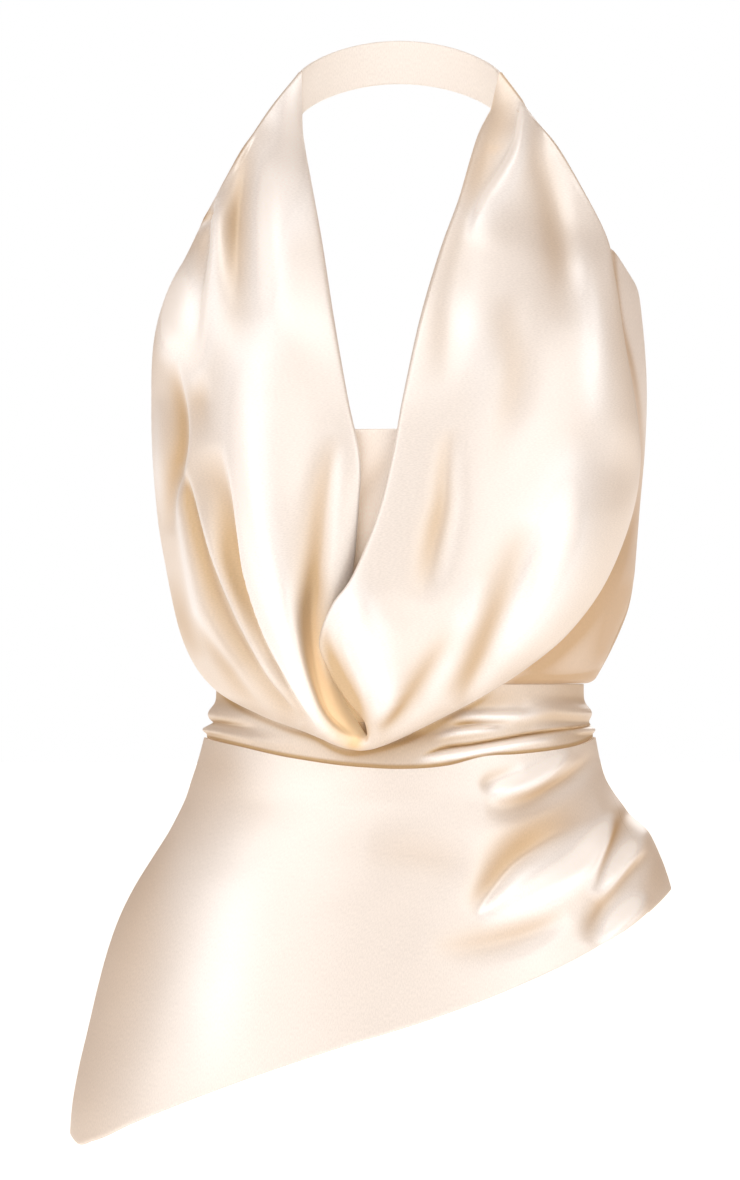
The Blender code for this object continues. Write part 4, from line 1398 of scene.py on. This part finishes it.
RIGHT_LOBE_FOLDS = FoldSet(
    Fold(
        (80, 398, 3, 0), (80, 386, 5, 3), (77, 366, 7, 4.4), (69.5, 350, 9, 4.4), (57, 330, 11, 3),
        (47, 303, 12, 0), lean=0.6,
    ),
    Fold((68, 402, 5, 0), (64, 388, 7, -1), (58, 368, 9, -1.8), (50, 345, 10, -1.8), (43, 322, 10, 0)),
    Fold(
        (82, 385, 8, 0), (91, 364, 10, -1.8), (98, 340, 11, -3), (102, 318, 12, -3.8),
        (105.5, 296, 12, -3.6), (106, 274, 11, -1.6), (104, 250, 10, 0),
    ),
    Fold((118, 310, 7, 0), (122, 285, 8, 1), (126, 262, 9, 1.8), (129, 225, 9, 1.8), (129, 186, 9, 0)),
    Fold(
        (45, 335, 10, 0), (38, 305, 12, -1.3), (32, 270, 12, -1.6), (30, 240, 12, -1.4),
        (28, 205, 12, 0),
    ),
    Fold(
        (72, 272, 9, 0), (73, 246, 11, -1.6), (77, 222, 11, -2.4), (74, 200, 11, -2),
        (67, 180, 10, -0.8), (66, 150, 10, 0),
    ),
    Fold(
        (33, 184, 6, 0), (31.5, 172, 7, -1.8), (30.5, 155, 8, -3.2), (29.5, 135, 9, -4),
        (24.5, 112, 10, -4.2), (20, 92, 10, -3.2), (15, 70, 9, 0),
    ),
    Fold(
        (88, 122, 10, 0), (82, 106, 11, -2.6), (74, 84, 11, -4.4), (66, 62, 10, -5.8), (57, 40, 10, -6),
        (47.5, 20, 9, -5), (36, 3, 8, 0), lean=-0.2,
    ),
    Fold(
        (46, 60, 9, 0), (36, 44, 10, -3), (23, 28, 10, -4.6), (10, 10, 9, -5), (-3, -6, 7, -4),
        (-14, -15, 5, 0),
    ),
    Fold((120, 178, 15, 0), (112, 140, 18, 3), (100, 98, 18, 5), (84, 62, 14, 4.4), (64, 30, 10, 0)),
    Fold((54, 88, 9, 0), (46, 62, 9, 2.4), (33, 32, 8, 3), (17, 6, 6, 0)),
    Fold((-40, 96, 9, 0), (-26, 62, 13, 4.4), (-14, 32, 12, 5), (-7, 8, 9, 3.6), (-13, -9, 6, 0)),
    Fold((-50, 60, 4, 0), (-44, 42, 5, -2.4), (-36, 23, 5, -2.8), (-27, 6, 4.4, -2), (-21, -8, 4, 0)),
    Fold((-40, 56, 2, 0), (-36, 40, 2.4, -1.1), (-29, 22, 2.4, -1.1), (-22, 6, 2, 0)),
    Fold((-31, 50, 2, 0), (-27, 34, 2.6, -0.9), (-20, 16, 2.4, 0)),
)


@dataclass
class CowlDrape(ClothPiece):
    """The draped front over u, along its nested curves, and v, from its inner to its outer edge.

    Attributes:
        per_section: points along u for each row of the table.
        main_rows, turn_rows: points over v on the lobes and round each turned edge.
        pinch, blend: place along u where the left lobe becomes the right one, and how soon.
        first_seated, last_seated: stretch along u that lies on the layer below.
        facing, facing_parts: depth of the neck facing and where its rows lie.
        return_parts: where the rows of the outer edge's return lie.
        layer_lift: gap to the layer below.
        skew: pull of the crown of the lobe towards its inner edge.
        overrun: how far the lobe's round section is carried on past its inner edge.
        fold_start, fold_end: how the folds rise at the inner edge and die at the outer one.
        resting, edge_shade: shade of flat cloth, and more of it behind the outer edge.
        left_glow, right_glow, halter_glow: strength of the glow painted in the mouth and in the halter's
            fold, as of light caught there.
    """

    per_section: int = 12
    main_rows: int = 110
    turn_rows: int = 7
    pinch: float = 13.0
    blend: float = 1.6
    first_seated: float = 8.3
    last_seated: float = 24.8
    facing: float = 9.0
    facing_parts: tuple[float, ...] = (1.0, 0.7, 0.4)
    return_parts: tuple[float, ...] = (0.35, 0.7, 1.0)
    layer_lift: float = 1.9
    skew: float = 0.8
    overrun: float = 0.2
    fold_start: Ramp = (-0.04, 0.14)
    fold_end: Ramp = (1.02, -0.12)
    resting: float = 0.17
    edge_shade: float = 0.3
    left_glow: float = 0.9
    right_glow: float = 0.1
    halter_glow: float = 1.3

    def sheet(self) -> Sheet:
        """Points of the whole sheet: neck facing, rolled edge, lobes, turned edge and return."""
        last = len(COWL_ROWS) - 1
        u = np.linspace(0.0, last, last * self.per_section + 1)[:, None]
        roll, turn = COWL.read("roll", u), COWL.read("turn", u)
        v = np.linspace(0.0, 1.0, self.main_rows)[None, :]
        lobe = self.draped(u + 0 * v, v + 0 * u)
        lobe_shade = self.shade(u + 0 * v, v + 0 * u)
        lobe_glow = self.glow(u + 0 * v, v + 0 * u)
        inner = [self.rolled(u, roll, part) for part in self.facing_parts]
        for angle in np.linspace(math.pi, 0.0, self.turn_rows + 1)[:-1]:
            inner.append(self.edge(u, 0.0, roll, angle))
        outer = []
        sweep = np.radians(COWL.read("sweep", u))
        for part in np.linspace(0.0, 1.0, self.turn_rows + 1)[1:]:
            outer.append(self.edge(u, 1.0, turn, sweep * part))
        for part in self.return_parts:
            outer.append(self.edge(u, 1.0, turn, sweep, COWL.read("under", u) * part))
        outer = [self.seated(points, u) for points in outer]

        def carried(paint_on: Array, behind: float) -> Array:
            """Paint of the lobes, carried on over both edges."""
            ends = [paint_on[:, :1]] * len(inner), [paint_on[:, -1:] + behind] * len(outer)
            return np.concatenate(ends[0] + [paint_on] + ends[1], axis=1)

        grid = np.concatenate(inner + [lobe] + outer, axis=1)
        return Sheet(grid, carried(lobe_shade, self.edge_shade), carried(lobe_glow, 0.0))

    def base(self, u: Array, v: Array) -> Array:
        """The unfolded lobe: a rounded quarter section from the inner edge to the outer one."""
        inner = [COWL.read("in_" + axis, u) for axis in "xyz"]
        outer = [COWL.read("out_" + axis, u) for axis in "xyz"]
        k = COWL.read("round", u)
        angle = np.clip(v, -self.overrun, 1.0) * math.pi / 2
        part = (1 - k) * v + k * np.sin(angle)
        back = (1 - k) * v + k * (1 - np.cos(angle))
        bulge = COWL.read("crown", u) * np.sin(math.pi * np.clip(v, 0.0, 1.0) ** self.skew)
        x = inner[0] + (outer[0] - inner[0]) * part
        y = inner[1] + (outer[1] - inner[1]) * back - bulge
        z = inner[2] + (outer[2] - inner[2]) * part
        return np.stack([x, y, z], axis=-1)

    def right_share(self, u: Array) -> Array:
        """Share of the right lobe: 0 on the left one, 1 past the pinch."""
        return ease((u - self.pinch + self.blend / 2) / self.blend)

    def base_normal(self, u: Array, v: Array) -> Array:
        """Outward normal of the unfolded lobe."""
        return normals_of(self.base, u, off_edge(v, LOBE_MARGIN), *LOBE_STEP)

    def depth(self, u: Array, v: Array, x: Array, z: Array) -> Array:
        """Height of the lobes' folds, which die away at both edges."""
        right = self.right_share(u)
        depth = (1 - right) * LEFT_LOBE_FOLDS.depth(x, z) + right * RIGHT_LOBE_FOLDS.depth(x, z)
        return depth * ramp(v, *self.fold_start) * ramp(v, *self.fold_end)

    def draped(self, u: Array, v: Array) -> Array:
        """The lobe with its folds."""
        point = self.base(u, v)
        depth = self.depth(u, v, point[..., 0], point[..., 2])
        return point + self.base_normal(u, v) * depth[..., None]

    def shade(self, u: Array, v: Array) -> Array:
        """Painted shade in the folds, on the sides, in the halter's fold and inside the pinch, with painted
        highlights where it goes below zero.
        """
        x, _, z = (self.base(u, v)[..., i] for i in range(3))
        right = self.right_share(u)
        folds = (1 - right) * LEFT_LOBE_FOLDS.shade(x, z) + right * RIGHT_LOBE_FOLDS.shade(x, z)
        mouth = (1 - right) * LEFT_MOUTH.depth(x, z) + right * RIGHT_MOUTH.depth(x, z)
        other = RIGHT_SHADE_AND_HIGHLIGHT.depth(x, z) + HALTER_SHADE.depth(x, z)
        shade_and_highlight = (1 - right) * LEFT_SHADE_AND_HIGHLIGHT.depth(x, z) + right * other
        return self.resting + folds + side_shade(self.base_normal(u, v)) + mouth + shade_and_highlight

    def glow(self, u: Array, v: Array) -> Array:
        """Painted glow, as of light that bounces inside the mouth of the cowl and in the halter's fold."""
        x, _, z = (self.base(u, v)[..., i] for i in range(3))
        right = self.right_share(u)
        mouth = self.left_glow * LEFT_MOUTH.depth(x, z)
        other = self.right_glow * RIGHT_MOUTH.depth(x, z) + self.halter_glow * HALTER_SHADE.depth(x, z)
        return (1 - right) * mouth + right * other

    def rolled(self, u: Array, roll: Array, part: float) -> Array:
        """A row of the neck facing, a little behind the lobe it backs."""
        ends = self.base(u, np.ones_like(u)) - self.base(u, np.zeros_like(u))
        length = np.maximum(np.linalg.norm(ends, axis=-1), 1.0)
        v = np.minimum(self.facing * part / length, 0.5)
        normal = normals_of(self.draped, u, v, *LOBE_STEP)
        return self.draped(u, v) - normal * 2 * roll[..., None]

    def edge(
        self, u: Array, v_edge: float, radius: Array, angle: Array | float, run: Array | float = 0.0
    ) -> Array:
        """A row of a turned edge: an arc, then a straight run.

        Args:
            u: places along the edge.
            v_edge: 0.0 for the inner edge, 1.0 for the outer one.
            radius: radius of the arc.
            angle: how far round the arc the row lies.
            run: how far past the arc it lies.

        Returns:
            The row's points.
        """
        v = np.full_like(u, v_edge)
        point = self.draped(u, v)
        inside = -normals_of(self.draped, u, off_edge(v, LOBE_MARGIN), *LOBE_STEP)
        step = LOBE_MARGIN if v_edge == 0.0 else -LOBE_MARGIN
        out = outward(point - self.draped(u, v + step), inside)
        radius, angle, run = ((np.asarray(size) + 0 * u)[..., None] for size in (radius, angle, run))
        arc = radius * (out * np.sin(angle) + inside * (1 - np.cos(angle)))
        return point + arc + run * (out * np.cos(angle) + inside * np.sin(angle))

    def seated(self, points: Array, u: Array) -> Array:
        """Keeps a turned row of the drape just in front of the layer that it lies on."""
        x, y, z = (points[..., i] for i in range(3))
        upper = z > WAIST_TOP_Z
        wide = np.where(upper, BODICE.read("wide", z), WAISTBAND.read("wide", z))
        front = np.where(upper, BODICE.read("front", z), WAISTBAND.read("front", z)) + self.layer_lift
        limit = -front * np.sqrt(np.clip(1.0 - (x / (wide + self.layer_lift)) ** 2, 0.0, 1.0))
        drape = (u > self.first_seated) & (u < self.last_seated) & (np.abs(x) < BODICE.read("wide", z))
        points[..., 1] = np.where(drape, np.minimum(y, limit), y)
        return points


@dataclass
class NeckBand(ClothPiece):
    """The band round the back of the neck, between the two halter seams, folded double.

    Attributes:
        half_width, reach: half the band's width across, and its reach to the back.
        centre_y: where its oval is centred.
        height: height of the band.
        end_z, rise: height of its ends, and how much higher its middle lies.
        columns, rows: points along the band and across it.
        edge_turn: turn of both long edges.
        belly: how far it bellies between its edges.
        arch_power: how evenly it arches up to the nape.
        seam_shade, seam_ramp: shade next to the halter seams.
    """

    half_width: float = 64.0
    reach: float = 57.0
    centre_y: float = 5.0
    height: float = 26.0
    end_z: float = 402.5
    rise: float = 22.0
    columns: int = 150
    rows: int = 30
    edge_turn: Turn = Turn(0.7, 8.0)
    belly: float = 0.5
    arch_power: float = 1.5
    seam_shade: float = 0.25
    seam_ramp: Ramp = (0.08, -0.08)

    def sheet(self) -> Sheet:
        """Points of the band with both of its long edges turned."""
        turn = self.edge_turn
        return panel_sheet(self._surface, self._shade, self.columns, self.rows, turn, turn)

    def _surface(self, s: Array, t: Array) -> Array:
        """Points of the band: it arches up to the nape and bellies a little between its edges."""
        limit = math.pi / 2 - 2 * PANEL_GAP / self.reach
        angle = limit * (2 * s - 1)
        belly = self.belly * np.sin(math.pi * np.clip(t, 0.0, 1.0))
        x = (self.half_width + belly) * np.sin(angle)
        y = self.centre_y + (self.reach + belly) * np.cos(angle)
        arch = np.abs(np.cos(angle)) ** self.arch_power
        z = self.end_z + self.rise * arch + self.height * (0.5 - t)
        return np.stack([x, y, z], axis=-1)

    def _shade(self, s: Array, t: Array) -> Array:
        """Shade next to the halter seams."""
        return self.seam_shade * ramp(np.minimum(s, 1 - s), *self.seam_ramp)


# Studio


@dataclass(frozen=True)
class Sun:
    """One soft light from far away.

    Attributes:
        name: the light's name.
        azimuth: degrees to the viewer's right of the camera.
        elevation: degrees above the horizon.
        energy: strength in watts a square metre.
        angle: apparent width in degrees.
    """

    name: str
    azimuth: float
    elevation: float
    energy: float
    angle: float

    def towards(self) -> Vector:
        """Direction from the garment to the light."""
        a, e = math.radians(self.azimuth), math.radians(self.elevation)
        return Vector((math.sin(a) * math.cos(e), -math.cos(a) * math.cos(e), math.sin(e)))


SUNS = (
    Sun("left", -45.0, 22.0, 0.88, 50.0),
    Sun("right", 42.0, 15.0, 0.82, 45.0),
    Sun("top", -5.0, 50.0, 0.55, 22.0),
    Sun("back", 170.0, 25.0, 0.7, 30.0),
)


@dataclass(frozen=True)
class Studio:
    """Plain pale floor, soft studio light and the camera of the photograph.

    Attributes:
        picture_height: height of the camera's frame at the garment in metres.
        distance: from the camera to the garment in metres.
        centre_x, centre_z: middle of the picture, in millimetres of the garment.
        plane_y: depth of the picture plane, in millimetres of the garment.
        sensor: width of the camera's sensor in millimetres.
        far: end of the camera's view in metres.
        bounce, bounce_strength: light of the room on the cloth.
        daylight: colour of the suns.
        floor_z, floor_half: height and half the width of the floor in metres.
        floor_colour, floor_roughness, floor_glow: finish of the floor.
    """

    picture_height: float = 0.767
    distance: float = 12.0
    centre_x: float = -19.5
    centre_z: float = 79.3
    plane_y: float = -20.0
    sensor: float = 36.0
    far: float = 100.0
    bounce: Colour = (1.0, 0.68, 0.44, 1.0)
    bounce_strength: float = 0.36
    daylight: tuple[float, float, float] = (0.85, 0.925, 1.0)
    floor_z: float = -1.02
    floor_half: float = 60.0
    floor_colour: Colour = (0.92, 0.92, 0.92, 1.0)
    floor_roughness: float = 0.8
    floor_glow: float = 0.6

    def camera(self) -> None:
        """Adds the camera straight in front of the garment."""
        data = bpy.data.cameras.new("camera")
        data.sensor_width = self.sensor
        data.lens = self.sensor * self.distance / self.picture_height
        data.clip_end = self.far
        eye = bpy.data.objects.new("camera", data)
        middle = Vector((self.centre_x, self.plane_y - NAPE_Y, self.centre_z - NAPE_Z)) * MM
        eye.location = middle - Vector((0.0, self.distance, 0.0))
        eye.rotation_euler = (math.pi / 2, 0.0, 0.0)
        bpy.context.scene.collection.objects.link(eye)
        bpy.context.scene.camera = eye

    def light(self, sun: Sun) -> None:
        """Adds one of the lights."""
        data = bpy.data.lights.new(sun.name, "SUN")
        data.energy = sun.energy
        data.color = self.daylight
        data.angle = math.radians(sun.angle)
        lamp = bpy.data.objects.new(sun.name, data)
        lamp.rotation_euler = sun.towards().to_track_quat("Z", "Y").to_euler()
        bpy.context.scene.collection.objects.link(lamp)

    def world(self) -> None:
        """A pale room: white to the camera, softer as light on the cloth."""
        world = bpy.data.worlds.new("studio")
        world.use_nodes = True
        nodes, links = world.node_tree.nodes, world.node_tree.links
        back = nodes["Background"]
        back.inputs["Color"].default_value = self.bounce
        back.inputs["Strength"].default_value = self.bounce_strength
        white = nodes.new("ShaderNodeBackground")
        white.inputs["Color"].default_value = WHITE
        path = nodes.new("ShaderNodeLightPath")
        mix = nodes.new("ShaderNodeMixShader")
        links.new(path.outputs["Is Camera Ray"], mix.inputs["Fac"])
        links.new(back.outputs["Background"], mix.inputs[1])
        links.new(white.outputs["Background"], mix.inputs[2])
        links.new(mix.outputs["Shader"], nodes["World Output"].inputs["Surface"])
        bpy.context.scene.world = world

    def floor(self) -> None:
        """A wide pale floor below the garment."""
        mesh = bpy.data.meshes.new("floor")
        signs = ((-1, -1), (1, -1), (1, 1), (-1, 1))
        corners = [(a * self.floor_half, b * self.floor_half, self.floor_z) for a, b in signs]
        mesh.from_pydata(corners, [], [(0, 1, 2, 3)])
        pale = bpy.data.materials.new("pale_floor")
        pale.use_nodes = True
        shader = pale.node_tree.nodes["Principled BSDF"]
        shader.inputs["Base Color"].default_value = self.floor_colour
        shader.inputs["Roughness"].default_value = self.floor_roughness
        shader.inputs["Emission Color"].default_value = WHITE
        shader.inputs["Emission Strength"].default_value = self.floor_glow
        mesh.materials.append(pale)
        floor = bpy.data.objects.new("floor", mesh)
        bpy.context.scene.collection.objects.link(floor)

    def build(self) -> None:
        """Sets up the whole studio."""
        bpy.context.scene.view_settings.view_transform = "Standard"
        self.camera()
        self.world()
        self.floor()
        for sun in SUNS:
            self.light(sun)


# The garment


FACE_SATIN = SatinFinish("face_satin", (0.95, 0.91, 0.87, 1.0), (0.61, 0.43, 0.245, 1.0))
UNDER_SATIN = SatinFinish("under_satin", (0.95, 0.90, 0.85, 1.0), (0.57, 0.39, 0.225, 1.0))
WAIST_SATIN = SatinFinish("waist_satin", (0.96, 0.91, 0.86, 1.0), (0.57, 0.39, 0.205, 1.0))
SKIRT_SATIN = SatinFinish("skirt_satin", (0.955, 0.91, 0.865, 1.0), (0.61, 0.415, 0.225, 1.0))
BAND_SATIN = SatinFinish(
    "band_satin",
    (0.95, 0.89, 0.82, 1.0),
    (0.80, 0.68, 0.56, 1.0),
    roughness=0.6,
    metallic=0.0,
)

# Angles of the side seams at the top and low down, in degrees to the viewer's right of the front.
FRONT_HALF = ((-93.98, -93.98), (93.98, 93.98))
BACK_HALF = ((94.02, 94.02), (265.98, 265.98))
SKIRT_FRONT = ((-93.0, -93.0), (90.0, 64.0))
SKIRT_BACK = ((90.04, 64.04), (266.96, 266.96))


def pieces() -> list[tuple[ClothPiece, SatinFinish]]:
    """Every cut piece of the garment with its finish, from the neck down."""
    band = NeckBand(
        "neck_band_cloth",
        "neck_band",
        Slot.INSIDE,
        Held.FOLDED,
        flat=(0.2, 0.045),
        rests_on=("cowl_front",),
    )
    drape = CowlDrape(
        "cowl_drape",
        "cowl_front",
        Slot.FACE,
        Held.DRAPED,
        flat=(0.62, 0.5),
        area=0.17,
        rests_on=("bodice_front", "neck_band"),
    )
    bodice_front, bodice_back = (
        BodicePanel(
            f"bodice_{side}_cloth",
            f"bodice_{side}",
            Slot.UNDER,
            Held.HUNG,
            flat,
            area,
            (f"waistband_{side}",),
            first_deg=half[0],
            last_deg=half[1],
        )
        for side, flat, area, half in (
            ("front", (0.43, 0.3), 0.097, FRONT_HALF),
            ("back", (0.4, 0.25), 0.046, BACK_HALF),
        )
    )
    waist_front, waist_back = (
        WaistbandPanel(
            f"waistband_{side}_cloth",
            f"waistband_{side}",
            Slot.WAIST,
            Held.FOLDED,
            flat,
            area,
            (f"skirt_{side}",),
            first_deg=half[0],
            last_deg=half[1],
            resting=shade,
        )
        for side, flat, area, half, shade in (
            ("front", (0.36, 0.055), 0.018, FRONT_HALF, 0.48),
            ("back", (0.33, 0.04), None, BACK_HALF, 0.3),
        )
    )
    skirt_front, skirt_back = (
        SkirtPanel(
            f"skirt_{side}_cloth",
            f"skirt_{side}",
            Slot.SKIRT,
            Held.HUNG,
            flat,
            area,
            (f"waistband_{side}",),
            first_deg=half[0],
            last_deg=half[1],
            columns=columns,
            rows=rows,
            hem=hem,
        )
        for side, flat, area, half, columns, rows, hem in (
            ("front", (0.5, 0.27), 0.085, SKIRT_FRONT, 230, 150, FRONT_HEM),
            ("back", (0.55, 0.27), 0.09, SKIRT_BACK, 200, 130, BACK_HEM),
        )
    )
    return [
        (band, BAND_SATIN),
        (drape, FACE_SATIN),
        (bodice_front, UNDER_SATIN),
        (bodice_back, UNDER_SATIN),
        (waist_front, WAIST_SATIN),
        (waist_back, WAIST_SATIN),
        (skirt_front, SKIRT_SATIN),
        (skirt_back, SKIRT_SATIN),
    ]


def main() -> None:
    """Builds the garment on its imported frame, then the studio."""
    logging.basicConfig(level=logging.INFO, format="%(name)s: %(message)s")
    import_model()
    grain = SatinGrain().build()
    made: dict[str, bpy.types.Material] = {}
    for piece, finish in pieces():
        if finish.name not in made:
            made[finish.name] = finish.material(grain)
        cloth = piece.build()
        piece.dress(cloth, made[finish.name])
        LOG.info("%s: %d points", piece.name, len(cloth.data.vertices))
    Studio().build()


if __name__ == "__main__":
    main()
